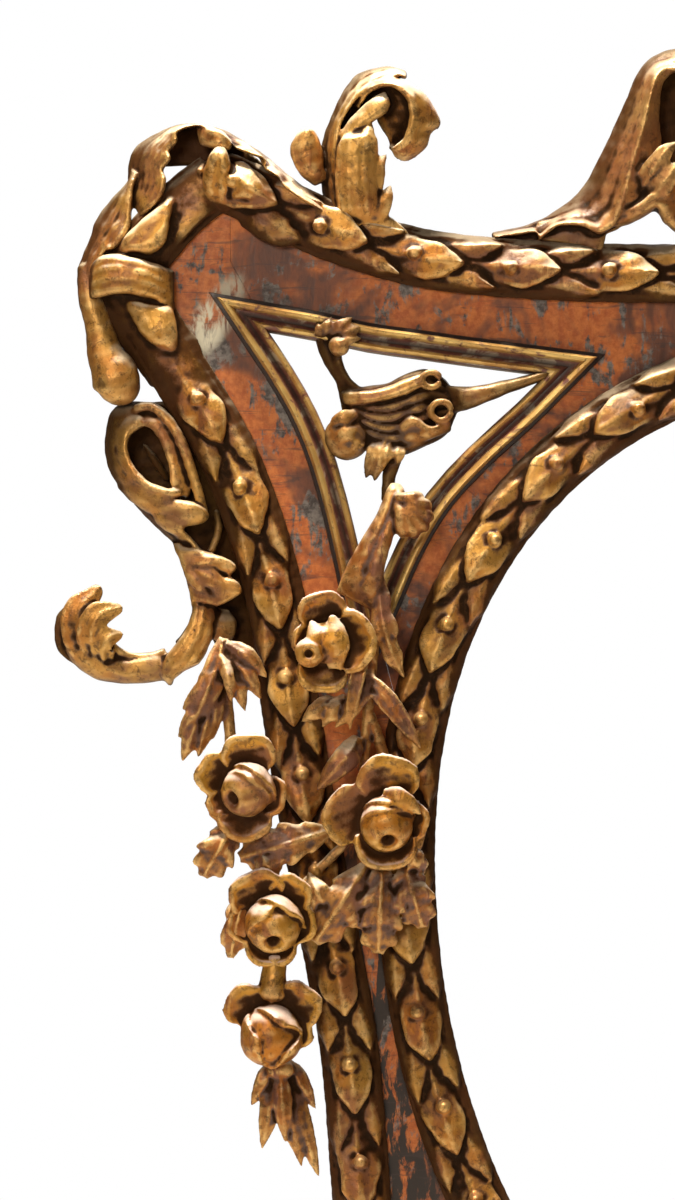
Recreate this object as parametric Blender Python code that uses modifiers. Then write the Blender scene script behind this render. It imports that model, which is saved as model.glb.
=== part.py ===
"""Carved giltwood wall frame with an oval sight opening.

The frame is a flat chassis of boards (rails, stiles and curved braces), faced with leaf
mouldings and pierced spandrels, and dressed with carved scrolls, roses and a leaf crest.
The front faces -Y and the wall is the plane Y = 0. Outlines are drawn on the frame's face
in millimetres, as (x, height), with x = 0 on the axis of symmetry. The world's origin is
the centre of the back face of the top batten, which is HANG_HEIGHT up on that drawing.
"""
import math

import bmesh
import bpy
from mathutils import Matrix, Vector

MM = 0.001
HANG_HEIGHT = 605.0          # height of the top batten's centre on the drawing
GAP = 0.3                    # clearance between neighbouring pieces
JOINT_GAP = 1.5              # half the gap where two lengths of the sight moulding butt
STEP = 42.0                  # longest straight piece of a smooth outline

# Depths on the drawing, positive towards the viewer (world -Y).
BATTEN_DEPTH = 15.0          # battens: 0 to here
BOARD_BACK = BATTEN_DEPTH + GAP
BOARD_FRONT = 43.0
MOULDING_BACK = BOARD_FRONT + GAP
MOULDING_HEIGHT = 28.0
BEAD_FRONT = 58.0
GARLAND_BACK = MOULDING_BACK + MOULDING_HEIGHT + GAP
GARLAND_FRONT = 86.0
ROSE_BACK = GARLAND_FRONT + GAP
ORNAMENT_BACK = 18.0
ORNAMENT_FRONT = 66.0
SCROLL_BACK, SCROLL_FRONT = 24.0, 62.0          # the small scroll in the upper spandrel
SCROLL_STEM_DEPTH = 45.0
OVERSHOOT = 9.0              # how far a cutting shape passes the face that it cuts
ENVELOPE_BACK, ENVELOPE_FRONT = -60.0, 160.0    # depths of the shape that trims the ornaments

# The sight edge: a super-ellipse above the spring line and an ellipse below it.
SIGHT_HALF_WIDTH = 433.0
SIGHT_SPRING = 40.0
SIGHT_RISE = 478.0
SIGHT_DROP = 608.0
SIGHT_POWER = 2.2
SIGHT_PIECES = 56
REBATE = 12.0                # the boards stand back from the sight edge by this much
MOULDING_HALF = 28.0         # half the width of both leaf mouldings
BOARD_MARGIN = 20.0          # boards reach this far past the outer moulding's centre line
BEAD_WIDTH = 24.0

# Centre line of the outer leaf moulding, left half.
OUTER_SIDE = [(-745, 625), (-725, 590), (-690, 530), (-645, 455), (-612, 372), (-590, 288),
              (-577, 190), (-558, 70), (-538, -40), (-520, -140), (-510, -250), (-506, -340),
              (-520, -430), (-556, -515), (-592, -590)]
OUTER_CORNER = [(-650, 722), (-690, 690), (-745, 625)]
OUTER_TOP = [(0, 626), (-250, 628), (-345, 632), (-445, 643), (-537, 670), (-610, 705), (-650, 722)]
OUTER_FOOT = [(-592, -590), (-600, -640), (-560, -682)]
OUTER_BOTTOM = [(-560, -682), (-480, -690), (-400, -674), (-300, -668), (-200, -680), (0, -694)]

# Pierced openings between rail, stile and brace, left side, stroke by stroke.
UPPER_OPENING = [
    [(-600, 570), (-555, 562), (-500, 550), (-450, 543), (-400, 536), (-322, 526)],
    [(-322, 526), (-350, 498), (-400, 452), (-440, 408), (-470, 358), (-497, 296)],
    [(-497, 296), (-512, 366), (-531, 438), (-551, 489), (-575, 532), (-600, 570)]]
LOWER_OPENING = [
    [(-417, -388), (-374, -453), (-315, -521), (-250, -578)],
    [(-250, -578), (-350, -593), (-420, -597), (-485, -592)],
    [(-485, -592), (-476, -560), (-455, -510), (-432, -450), (-417, -388)]]

# Battens across the back: name, width, lower and upper edge.
BATTENS = (("top_batten", 800, 575, 635), ("bottom_batten", 560, -700, -648))

# Hardware on the back.
RING_WIRE = 2.2
RING_RADIUS = 21.0
HANGER_X, HANGER_TOP = 530.0, 215.0
HANGER_PLATE = (22.0, 62.0, 2.4)
KNUCKLE_DEPTH = 6.4          # depth of the ring's axis, clear of the screw heads
KNUCKLE_RADIUS = 4.6
KNUCKLE_WEB = 7.0            # height of the web between the plate and the ring's loop
KNUCKLE_SHARE = 0.6          # width of the ring's loop as a share of the plate's
RING_BAR_HALF = 17.0         # half the straight bar of the ring
RING_SHOULDER = 6.0          # drop from the bar to the top of the bow
RING_BOW_DROP = 14.0         # drop from the bar to the centre of the bow
PLATE_SCREWS = (0.42, 0.82)  # screws along the hanger plate, as shares of its length
BUTTON_HEIGHT = -20.0        # height of the side turn buttons
BUTTON_SIZE = (64.0, 18.0, 6.0)
BUTTON_PIVOT_INSET = 16.0    # pivot to the near end of a turn button
SCREW_HOLE = 4.6
SCREW_SHANK = 3.6
SCREW_HEAD = 8.0
SCREW_BITE = 14.0


# --- drawing helpers -------------------------------------------------------------------

def world(x, height, depth):
    return Vector((x * MM, -depth * MM, (height - HANG_HEIGHT) * MM))


def stroke(points, step=STEP):
    """A smooth line through the points, as short straight pieces."""
    points = [Vector(p) for p in points]
    if len(points) == 2:
        return points
    tangents = []
    for i, point in enumerate(points):
        before, after = points[max(i - 1, 0)], points[min(i + 1, len(points) - 1)]
        span = (point - before).length + (after - point).length
        tangents.append((after - before) / span)
    line = []
    for i in range(len(points) - 1):
        a, b = points[i], points[i + 1]
        length = (b - a).length
        pieces = max(1, math.ceil(length / step))
        for k in range(pieces):
            t = k / pieces
            line.append(a * (2 * t**3 - 3 * t**2 + 1) + b * (3 * t**2 - 2 * t**3)
                        + tangents[i] * length * (t**3 - 2 * t**2 + t)
                        + tangents[i + 1] * length * (t**3 - t**2))
    line.append(points[-1])
    return line


def join(*lines):
    """One line from several that meet end to end."""
    whole = []
    for line in lines:
        for point in line:
            if not whole or (point - whole[-1]).length > 0.01:
                whole.append(point)
    return whole


def loop(strokes, step=STEP):
    """A closed outline, with a corner wherever two strokes meet."""
    whole = join(*[stroke(points, step) for points in strokes])
    if (whole[0] - whole[-1]).length < 0.01:
        whole.pop()
    return whole


def flip(line):
    return [Vector((-point.x, point.y)) for point in reversed(line)]


def sided(line, side):
    """The line itself on the left (-1), its mirror image on the right (+1)."""
    return line if side < 0 else flip(line)


def offset(line, distance, closed=True, longest=3.0):
    """The line moved to its own left by the distance, with mitred corners."""
    moved = []
    count = len(line)
    for i, point in enumerate(line):
        before = line[i - 1] if (closed or i) else None
        after = line[(i + 1) % count] if (closed or i < count - 1) else None
        normals = [Vector((-d.y, d.x)).normalized()
                   for d in (point - before if before else None, after - point if after else None)
                   if d is not None]
        middle = sum(normals, Vector((0, 0))).normalized()
        reach = min(longest, 1 / max(middle.dot(normals[0]), 0.05))
        moved.append(point + middle * distance * reach)
    return moved


def signed_area(line):
    return sum(a.cross(b) for a, b in zip(line, line[1:] + line[:1])) / 2


def grown(line, distance):
    """A closed outline made larger all round by the distance."""
    return offset(line, -distance if signed_area(line) > 0 else distance)


def sight_line(margin=0.0):
    """Closed outline of the sight opening, moved outwards by the margin."""
    outline = []
    for k in range(SIGHT_PIECES):
        angle = math.tau * k / SIGHT_PIECES
        x, y = math.cos(angle), math.sin(angle)
        power, rise = (SIGHT_POWER, SIGHT_RISE) if y > 0 else (2.0, SIGHT_DROP)
        outline.append(Vector((SIGHT_HALF_WIDTH * math.copysign(abs(x) ** (2 / power), x),
                               SIGHT_SPRING + rise * math.copysign(abs(y) ** (2 / power), y))))
    return grown(outline, margin) if margin else outline


def outer_line(margin):
    """Closed outline of the whole frame, at a margin outside the outer moulding's centre."""
    left = join(*[stroke(points) for points in
                  (OUTER_TOP, OUTER_CORNER, OUTER_SIDE, OUTER_FOOT, OUTER_BOTTOM)])
    return grown(join(left, flip(left))[:-1], margin)


# --- object helpers --------------------------------------------------------------------

def clear_scene():
    for item in list(bpy.data.objects):
        bpy.data.objects.remove(item, do_unlink=True)


def collection(name):
    made = bpy.data.collections.new(name)
    bpy.context.scene.collection.children.link(made)
    return made


def material(name, colour, roughness, metallic=0.0):
    made = bpy.data.materials.new(name)
    made.use_nodes = True
    shader = made.node_tree.nodes["Principled BSDF"]
    shader.inputs["Base Color"].default_value = (*colour, 1.0)
    shader.inputs["Roughness"].default_value = roughness
    shader.inputs["Metallic"].default_value = metallic
    return made


def link(name, data, group, look=None):
    item = bpy.data.objects.new(name, data)
    group.objects.link(item)
    if look:
        data.materials.append(look)
    if group is CUTTERS:
        item.hide_render = True
        item.display_type = "WIRE"
    return item


def meshed(item):
    """Turn a curve object into a welded mesh object of the same name."""
    name, group = item.name, item.users_collection[0]
    seen = item.evaluated_get(bpy.context.evaluated_depsgraph_get())
    mesh = bpy.data.meshes.new_from_object(seen)
    place, looks = item.matrix_world.copy(), [slot.material for slot in item.material_slots]
    bpy.data.objects.remove(item, do_unlink=True)
    edit = bmesh.new()
    edit.from_mesh(mesh)
    bmesh.ops.remove_doubles(edit, verts=edit.verts, dist=0.00002)
    bmesh.ops.recalc_face_normals(edit, faces=edit.faces)
    edit.to_mesh(mesh)
    edit.free()
    mesh.materials.clear()
    made = link(name, mesh, group, looks[0] if looks else None)
    made.matrix_world = place
    return made


def drawn_curve(name, lines, group, look, closed=True):
    curve = bpy.data.curves.new(name, "CURVE")
    curve.resolution_u = 1
    curve.render_resolution_u = 0
    for line in lines:
        spline = curve.splines.new("POLY")
        spline.points.add(len(line) - 1)
        for place, point in zip(spline.points, line):
            place.co = (point[0] * MM, point[1] * MM, 0.0, 1.0)
        spline.use_cyclic_u = closed
    item = link(name, curve, group, look)
    item.rotation_euler = (math.pi / 2, 0, 0)
    return item


def plate(name, lines, back, front, look, group=None, round_edge=0.0):
    """A flat piece with the given outline and holes, between two depths."""
    item = drawn_curve(name, lines, group or PARTS, look)
    curve = item.data
    curve.dimensions = "2D"
    curve.fill_mode = "BOTH"
    curve.extrude = (front - back) / 2 * MM - round_edge * MM
    if round_edge:
        curve.bevel_depth = round_edge * MM
        curve.bevel_resolution = 0
        curve.offset = -round_edge * MM
    item.location = world(0, 0, (front + back) / 2)
    bpy.context.view_layer.update()
    return meshed(item)


def sweep(name, line, back, half, height, look):
    """A low rounded moulding of even section along an open line."""
    section = [(-half, 0), (-0.86 * half, 0.5 * height), (-0.45 * half, 0.9 * height), (0, height),
               (0.45 * half, 0.9 * height), (0.86 * half, 0.5 * height), (half, 0)]
    profile = drawn_curve(name + ".section", [section], CUTTERS, None)
    profile.data.dimensions = "2D"
    item = drawn_curve(name, [line], PARTS, look, closed=False)
    item.data.dimensions = "2D"
    item.data.bevel_mode = "OBJECT"
    item.data.bevel_object = profile
    item.data.use_fill_caps = True
    item.location = world(0, 0, back)
    bpy.context.view_layer.update()
    made = meshed(item)
    bpy.data.objects.remove(profile, do_unlink=True)
    return made


def tube(name, points, depth, look, side, group=None, sides=2):
    """A carved stem: points are (x, height, radius) or (x, height, radius, depth)."""
    curve = bpy.data.curves.new(name, "CURVE")
    curve.dimensions = "3D"
    curve.bevel_depth = MM
    curve.bevel_resolution = sides
    curve.use_fill_caps = True
    curve.resolution_u = 1
    curve.render_resolution_u = 0
    line = stroke([(p[0], p[1], p[2], p[3] if len(p) > 3 else depth) for p in points])
    spline = curve.splines.new("POLY")
    spline.points.add(len(line) - 1)
    for place, point in zip(spline.points, line):
        place.co = (*world(-side * point[0], point[1], point[3]), 1.0)
        place.radius = point[2]
    item = link(name, curve, group or PARTS, look)
    bpy.context.view_layer.update()
    return meshed(item)


def combine(item, others, operation="UNION"):
    """Boolean the others into the item, one modifier each."""
    for other in others:
        if other.users_collection[0] is not CUTTERS:
            other.users_collection[0].objects.unlink(other)
            CUTTERS.objects.link(other)
        other.hide_render = True
        other.display_type = "WIRE"
        cut = item.modifiers.new(operation.lower(), "BOOLEAN")
        cut.operation = operation
        cut.solver = "EXACT"
        cut.object = other
    return item


def side_name(side):
    return "left" if side < 0 else "right"


# --- chassis ---------------------------------------------------------------------------

def opening(strokes, side, margin=0.0):
    line = sided(loop(strokes), side)
    return grown(line, margin) if margin else line


def mirrored_region(half):
    return half + [(-x, y) for x, y in reversed(half)]


def build_boards():
    """Rails, stiles and braces, cut from one flat layout along their joint lines."""
    top_half = [(-640, 900), (-638, 640), (-600, 570), (-424, 432), (-336, 356)]
    bottom_half = [(-900, -870), (-485, -592), (-400, -560), (-325, -531), (-230, -436)]
    stile = [(-900, 900), (-640, 900), (-638, 640), (-600, 570), (-500, 440), (-497, 296),
             (-428, 30), (-300, 30), (-300, -70), (-424, -75), (-417, -388), (-440, -560),
             (-485, -592), (-900, -870)]
    upper_brace = [(-424, 432), (-500, 440), (-497, 296), (-428, 30), (-300, 30), (-336, 356)]
    lower_brace = [(-300, -70), (-424, -75), (-417, -388), (-400, -560), (-325, -531), (-230, -436)]
    regions = {"top_rail": mirrored_region(top_half), "bottom_rail": mirrored_region(bottom_half)}
    for side in (-1, 1):
        for part, half in (("stile", stile), ("upper_brace", upper_brace), ("lower_brace", lower_brace)):
            regions[f"{side_name(side)}_{part}"] = [(-side * x, y) for x, y in half]

    openings = [opening(strokes, side) for side in (-1, 1) for strokes in (UPPER_OPENING, LOWER_OPENING)]
    layout = plate("layout", [outer_line(BOARD_MARGIN), sight_line(REBATE)] + openings,
                   BOARD_BACK, BOARD_FRONT, None)
    boards = {}
    for name, region in regions.items():
        board = link(name, layout.data.copy(), PARTS, PAINTED)
        board.matrix_world = layout.matrix_world
        line = grown([Vector(point) for point in region], -GAP / 2)
        cutter = plate(name + ".region", [line], BOARD_BACK - OVERSHOOT, BOARD_FRONT + OVERSHOOT,
                       None, CUTTERS)
        boards[name] = combine(board, [cutter], "INTERSECT")
    bpy.data.objects.remove(layout, do_unlink=True)
    return boards


def build_battens():
    for name, width, low, high in BATTENS:
        item = box(name, (width, BATTEN_DEPTH, high - low), BARE_WOOD)
        item.location = world(0, (low + high) / 2, BATTEN_DEPTH / 2)
        bevel(item, 2.0)


def box(name, size, look, group=None):
    mesh = bpy.data.meshes.new(name)
    edit = bmesh.new()
    bmesh.ops.create_cube(edit, size=MM)
    bmesh.ops.scale(edit, vec=size, verts=edit.verts)
    edit.to_mesh(mesh)
    edit.free()
    return link(name, mesh, group or PARTS, look)


def bevel(item, width, segments=1):
    made = item.modifiers.new("edges", "BEVEL")
    made.width = width * MM
    made.segments = segments
    made.limit_method = "ANGLE"


# --- mouldings -------------------------------------------------------------------------

def build_outer_mouldings():
    """Leaf mouldings on the outer edge: top and bottom lengths and two sides."""
    top = stroke(OUTER_TOP)
    top = top[:-1] + [top[-1] + Vector((2, -1))]
    bottom = join(stroke(OUTER_FOOT)[2:], stroke(OUTER_BOTTOM))
    lengths = {"outer_leaf_top": join(flip(top), top[1:]),
               "outer_leaf_bottom": join(bottom, flip(bottom)[1:])}
    side_line = join(stroke(OUTER_CORNER), stroke(OUTER_SIDE))
    side_line = side_line[1:]
    for side in (-1, 1):
        lengths[f"outer_leaf_{side_name(side)}"] = sided(side_line, side)
    for name, line in lengths.items():
        sweep(name, line, MOULDING_BACK, MOULDING_HALF, MOULDING_HEIGHT, GILT)


def build_sight_moulding():
    ring = sight_line(MOULDING_HALF + 1)
    half = len(ring) // 2
    gap = Vector((0, JOINT_GAP))
    upper, lower = ring[:half + 1], ring[half:] + ring[:1]
    sweep("sight_leaf_upper", [upper[0] + gap] + upper[1:-1] + [upper[-1] + gap],
          MOULDING_BACK, MOULDING_HALF, MOULDING_HEIGHT, GILT)
    sweep("sight_leaf_lower", [lower[0] - gap] + lower[1:-1] + [lower[-1] - gap],
          MOULDING_BACK, MOULDING_HALF, MOULDING_HEIGHT, GILT)


def build_spandrel_beads():
    for side in (-1, 1):
        for level, strokes in (("upper", UPPER_OPENING), ("lower", LOWER_OPENING)):
            inner, outer = opening(strokes, side, 1.0), opening(strokes, side, BEAD_WIDTH)
            item = plate(f"{side_name(side)}_{level}_spandrel_bead", [outer, inner],
                         MOULDING_BACK, BEAD_FRONT, BEADING)
            bevel(item, 5.0)


# --- carved ornaments --------------------------------------------------------------------

ACANTHUS = [[(-770, 560), (-783, 585), (-793, 625), (-786, 665), (-762, 702), (-742, 728), (-735, 758),
             (-705, 776), (-670, 781), (-640, 770), (-600, 743), (-560, 710), (-540, 690)],
            [(-540, 690), (-600, 700), (-680, 640), (-740, 580), (-770, 560)]]
ACANTHUS_HOLE = [[(-741, 690), (-726, 692), (-722, 681), (-731, 673), (-742, 680), (-741, 690)]]
BULB_STEM = [(-770, 592, 14), (-768, 568, 13), (-760, 545, 18), (-753, 526, 22), (-752, 508, 12)]
EYE_SCROLL = [[(-735, 501), (-756, 487), (-763, 455), (-752, 415), (-718, 378), (-690, 350), (-676, 315),
               (-675, 290), (-690, 262)],
              [(-690, 262), (-660, 250), (-632, 256), (-618, 300), (-618, 400), (-650, 430), (-700, 492),
               (-735, 501)]]
EYE_HOLE = [[(-742, 460), (-726, 473), (-706, 452), (-701, 418), (-722, 422), (-740, 445), (-742, 460)]]
HOOK_STEM = [(-690, 300, 20), (-684, 262, 24), (-702, 235, 17), (-740, 235, 15), (-772, 240, 18),
             (-786, 264, 18), (-778, 292, 16), (-772, 306, 10)]
TOP_SCROLL_STEM = [(-505, 668, 30), (-515, 715, 27), (-512, 765, 27), (-490, 800, 32), (-462, 802, 26),
                   (-444, 780, 16), (-452, 757, 14), (-466, 752, 9)]
TOP_SCROLL_LOBE = [(-520, 735, 12), (-550, 742, 14), (-566, 748, 20), (-572, 762, 8)]
CREST_LEAF = [[(-376, 669), (-339, 678), (-298, 701), (-270, 737), (-249, 780), (-233, 821), (-215, 847),
               (-185, 855)],
              [(-185, 855), (-180, 760), (-185, 668)],
              [(-185, 668), (-229, 676), (-266, 668), (-287, 640), (-330, 650), (-376, 669)]]
CARTOUCHE = [[(0, 892), (-60, 880), (-110, 850), (-150, 800), (-172, 740), (-176, 660)],
             [(-176, 660), (-100, 648), (0, 645)]]
CARTOUCHE_SHELL_HEIGHT = 765
CARTOUCHE_SHELL_RADII = (95, 45, 105)
SCROLL_BODY = [[(-535, 463), (-515, 484), (-491, 514), (-445, 529), (-418, 514), (-412, 490), (-435, 457),
                (-470, 436), (-500, 442), (-520, 446), (-535, 463)]]
SCROLL_EYE = [(-447, 518), (-438, 524), (-430, 516), (-439, 509), (-447, 518)]
SCROLL_SPRIG = [(-505, 500, 12), (-522, 520, 9), (-534, 542, 10), (-530, 556, 5)]
SCROLL_SPUR = [(-430, 500, 13), (-390, 512, 8), (-345, 518, 4.5)]
SCROLL_TAIL = [(-485, 470, 14), (-478, 440, 8), (-476, 412, 7), (-472, 392, 9)]
FORK_STEM = [(-458, 383, 7), (-478, 392, 7), (-488, 365, 7), (-498, 325, 7), (-500, 270, 7),
             (-502, 200, 7), (-505, 110, 7), (-520, 60, 7)]
GARLAND_STEMS = [[(-535, 265, 6), (-505, 235, 7), (-500, 190, 6)],
                 [(-500, 190, 6), (-480, 130, 7), (-484, 40, 6), (-486, 5, 7)],
                 [(-505, 110, 6), (-560, 110, 7), (-625, 115, 6)],
                 [(-644, 262, 6), (-640, 200, 7), (-640, 120, 7), (-620, 40, 6), (-594, -20, 7), (-597, -120, 6), (-588, -172, 7)],
                 [(-520, 60, 6), (-560, 20, 7), (-594, -20, 6)]]
# Leaves of the garland: base, tip, half-width.
GARLAND_LEAVES = [((-499, 345), (-465, 226), 13), ((-645, 270), (-683, 150), 24), ((-640, 262), (-602, 205), 14),
                  ((-632, 80), (-663, 28), 17), ((-545, 68), (-624, 45), 18), ((-500, 30), (-551, -38), 20),
                  ((-486, 35), (-490, -48), 22), ((-470, 40), (-448, -24), 18), ((-500, 210), (-449, 153), 11),
                  ((-505, 165), (-548, 114), 13), ((-592, -150), (-608, -245), 16), ((-590, -150), (-560, -274), 18),
                  ((-588, -42), (-641, -55), 15)]
# Roses: name, centre, outer radius, ball radius, height.
ROSES = [("rose_high", (-535, 262), 41, 21, 30), ("rose_large", (-484, 84), 55, 27, 36),
         ("rose_outer", (-628, 113), 45, 24, 34), ("rose_low", (-593, -22), 44, 27, 34)]
BUD = ((-597, -128), 33, 32)
FOOT_CLASP = [[(-545, -500), (-598, -520), (-642, -560), (-664, -615), (-655, -675), (-620, -718), (-570, -738),
               (-515, -734), (-486, -712)],
              [(-486, -712), (-540, -640), (-545, -500)]]


def side_ornament(name, line_strokes, side, holes=(), tubes=(), back=ORNAMENT_BACK, front=ORNAMENT_FRONT):
    """A carved plate with its stems joined on, trimmed to the frame's outer edge."""
    outlines = [sided(loop(line_strokes), side)]
    for hole in holes:
        outlines.append(sided(loop([hole], step=9), side))
    item = plate(name, outlines, back, front, GILT)
    for number, (points, depth) in enumerate(tubes):
        combine(item, [tube(f"{name}.stem{number}", points, depth, None, side, CUTTERS)])
    return combine(item, [ENVELOPE], "DIFFERENCE")


def build_side_ornaments(side):
    prefix = side_name(side)
    middle = (ORNAMENT_BACK + ORNAMENT_FRONT) / 2
    side_ornament(f"{prefix}_corner_acanthus", ACANTHUS, side, ACANTHUS_HOLE, [(BULB_STEM, middle)])
    side_ornament(f"{prefix}_eye_scroll", EYE_SCROLL, side, EYE_HOLE, [(HOOK_STEM, middle)])
    side_ornament(f"{prefix}_crest_leaf", CREST_LEAF, side)
    side_ornament(f"{prefix}_foot_clasp", FOOT_CLASP, side)
    stem = tube(f"{prefix}_top_scroll", TOP_SCROLL_STEM, middle, GILT, side, sides=3)
    lobe = tube(f"{prefix}_top_scroll.lobe", TOP_SCROLL_LOBE, middle, None, side, CUTTERS)
    combine(combine(stem, [lobe]), [ENVELOPE], "DIFFERENCE")


def build_cartouche():
    half = loop(CARTOUCHE[:1]) + loop(CARTOUCHE[1:])[1:]
    line = join(half, flip(half))[:-1]
    item = plate("crest_cartouche", [line], ORNAMENT_BACK, ORNAMENT_FRONT, GILT)
    shell = sphere("crest_cartouche.shell", (0, CARTOUCHE_SHELL_HEIGHT, ORNAMENT_FRONT),
                   CARTOUCHE_SHELL_RADII, CUTTERS)
    combine(item, [shell])
    combine(item, [ENVELOPE], "DIFFERENCE")


def sphere(name, centre, radii, group, look=None):
    mesh = bpy.data.meshes.new(name)
    edit = bmesh.new()
    bmesh.ops.create_uvsphere(edit, u_segments=16, v_segments=8, radius=MM)
    bmesh.ops.scale(edit, vec=radii, verts=edit.verts)
    edit.to_mesh(mesh)
    edit.free()
    item = link(name, mesh, group, look)
    item.location = world(*centre)
    return item


def build_spandrel_scroll(side):
    prefix = side_name(side)
    outlines = [sided(loop(SCROLL_BODY), side), sided(loop([SCROLL_EYE], step=9), side)]
    item = plate(f"{prefix}_spandrel_scroll", outlines, SCROLL_BACK, SCROLL_FRONT, GILT)
    for number, points in enumerate((SCROLL_SPRIG, SCROLL_SPUR, SCROLL_TAIL)):
        stem = tube(f"{item.name}.stem{number}", points, SCROLL_STEM_DEPTH, None, side, CUTTERS)
        combine(item, [stem])


def leaf_line(base, tip, half_width):
    """A pointed leaf outline from base to tip."""
    base, tip = Vector(base), Vector(tip)
    along = tip - base
    across = Vector((-along.y, along.x)).normalized() * half_width
    left = [base, base + along * 0.25 + across * 0.75, base + along * 0.6 + across, tip]
    right = [tip, base + along * 0.6 - across, base + along * 0.25 - across * 0.75, base]
    return [left, right]


def build_garland(side):
    """Stems and leaves in one thin layer in front of the mouldings."""
    prefix = side_name(side)
    middle = (GARLAND_BACK + GARLAND_FRONT) / 2
    item = tube(f"{prefix}_garland_leaves", FORK_STEM, middle, GILT, side, sides=1)
    for number, points in enumerate(GARLAND_STEMS):
        combine(item, [tube(f"{item.name}.stem{number}", points, middle, None, side, CUTTERS, sides=1)])
    for number, (base, tip, half_width) in enumerate(GARLAND_LEAVES):
        line = sided(loop(leaf_line(base, tip, half_width), step=40), side)
        inset = 0.4 * (number % 3)
        combine(item, [plate(f"{item.name}.leaf{number}", [line], GARLAND_BACK + 0.2 + inset,
                             GARLAND_FRONT - 1.5 - inset, None, CUTTERS)])


def turned(name, profile, centre, base_depth, side, look, steps=14):
    """A shape turned about an axis along the frame's depth; profile is (radius, height)."""
    mesh = bpy.data.meshes.new(name)
    points = [(radius * MM, 0.0, height * MM) for radius, height in profile]
    mesh.from_pydata(points, [(i, i + 1) for i in range(len(points) - 1)], [])
    item = link(name, mesh, PARTS, look)
    item.location = world(-side * centre[0], centre[1], base_depth)
    item.rotation_euler = (math.pi / 2, 0, 0)
    spin = item.modifiers.new("turn", "SCREW")
    spin.steps = spin.render_steps = steps
    spin.use_merge_vertices = True
    spin.merge_threshold = 0.00005
    return item


def build_roses(side):
    prefix = side_name(side)
    for name, centre, outer, ball, height in ROSES:
        profile = [(0, height), (0.6 * ball, 0.93 * height), (ball, 0.62 * height), (0.95 * ball, 0.4 * height),
                   (0.7 * outer, 0.42 * height), (outer, 0.7 * height), (0.97 * outer, 0.55 * height),
                   (0.6 * outer, 0.12 * height), (0.3 * outer, 0), (0, 0)]
        turned(f"{prefix}_{name}", profile, centre, ROSE_BACK, side, GILT)
    centre, radius, height = BUD
    profile = [(0, height), (0.5 * radius, 0.92 * height), (0.9 * radius, 0.66 * height), (radius, 0.4 * height),
               (0.8 * radius, 0.12 * height), (0.45 * radius, 0), (0, 0)]
    turned(f"{prefix}_rose_bud", profile, centre, ROSE_BACK, side, GILT)


# --- hardware on the back ------------------------------------------------------------------

def screw(name, x, height, head_depth):
    """A pan-head wood screw driven in from the back; head_depth is where the head is seated."""
    bite = BOARD_BACK - head_depth + SCREW_BITE
    profile = [(0, 2.6), (0.5 * SCREW_HEAD / 2, 2.4), (0.85 * SCREW_HEAD / 2, 1.5), (SCREW_HEAD / 2, 0.4),
               (SCREW_HEAD / 2, 0), (SCREW_SHANK / 2, 0), (SCREW_SHANK / 2, 3 - bite), (0, -bite)]
    item = turned(name, profile, (x, height), head_depth, 1, IRON, steps=9)
    item.location = world(x, height, head_depth)
    item.rotation_euler = (-math.pi / 2, 0, 0)
    return item


def rod(name, x, height, low_depth, high_depth, radius, group, segments=12):
    """A straight round rod along the frame's depth."""
    mesh = bpy.data.meshes.new(name)
    edit = bmesh.new()
    bmesh.ops.create_cone(edit, cap_ends=True, segments=segments, radius1=radius * MM, radius2=radius * MM,
                          depth=(high_depth - low_depth) * MM)
    edit.to_mesh(mesh)
    edit.free()
    item = link(name, mesh, group)
    item.rotation_euler = (math.pi / 2, 0, 0)
    item.location = world(x, height, (low_depth + high_depth) / 2)
    return item


def drill(board, places):
    """Blind pilot holes in a board's back, for the screws at the given places."""
    for number, (x, height) in enumerate(places):
        hole = rod(f"{board.name}.hole{number}", x, height, BOARD_BACK - 5, BOARD_BACK + SCREW_BITE + 1,
                   SCREW_HOLE / 2, CUTTERS)
        combine(board, [hole], "DIFFERENCE")


def build_hanger(side, board):
    """A strap plate with a ring that swings on a loop at its upper end."""
    prefix = side_name(side)
    x = side * HANGER_X
    width, length, thick = HANGER_PLATE
    plate_depth = BOARD_BACK - GAP
    strap = box(f"{prefix}_hanger_plate", (width, thick, length), IRON)
    strap.location = world(x, HANGER_TOP - length / 2, plate_depth - thick / 2)
    bevel(strap, 0.5)
    knuckle = rod_across(f"{prefix}_hanger_plate.knuckle", x, HANGER_TOP, KNUCKLE_DEPTH,
                         width * KNUCKLE_SHARE, KNUCKLE_RADIUS, CUTTERS)
    web_size = (width * KNUCKLE_SHARE, plate_depth - KNUCKLE_DEPTH - 1, KNUCKLE_WEB)
    web = box(f"{prefix}_hanger_plate.web", web_size, None, CUTTERS)
    web.location = world(x, HANGER_TOP, (plate_depth + KNUCKLE_DEPTH) / 2 - 0.2)
    bore = rod_across(f"{prefix}_hanger_plate.bore", x, HANGER_TOP, KNUCKLE_DEPTH, width * 2,
                      RING_WIRE + GAP, CUTTERS)
    combine(combine(strap, [web, knuckle]), [bore], "DIFFERENCE")
    places = [(x, HANGER_TOP - share * length) for share in PLATE_SCREWS]
    for number, (_, height) in enumerate(places):
        hole = rod(f"{strap.name}.hole{number}", x, height, 0, BOARD_BACK + 1, SCREW_HOLE / 2, CUTTERS)
        combine(strap, [hole], "DIFFERENCE")
        screw(f"{prefix}_hanger_screw_{number + 1}", x, height, plate_depth - thick - GAP)
    drill(board, places)
    build_ring(prefix, x)


def rod_across(name, x, height, depth, length, radius, group):
    item = rod(name, 0, 0, -length / 2, length / 2, radius, group, segments=14)
    item.rotation_euler = (0, math.pi / 2, 0)
    item.location = world(x, height, depth)
    return item


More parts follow.
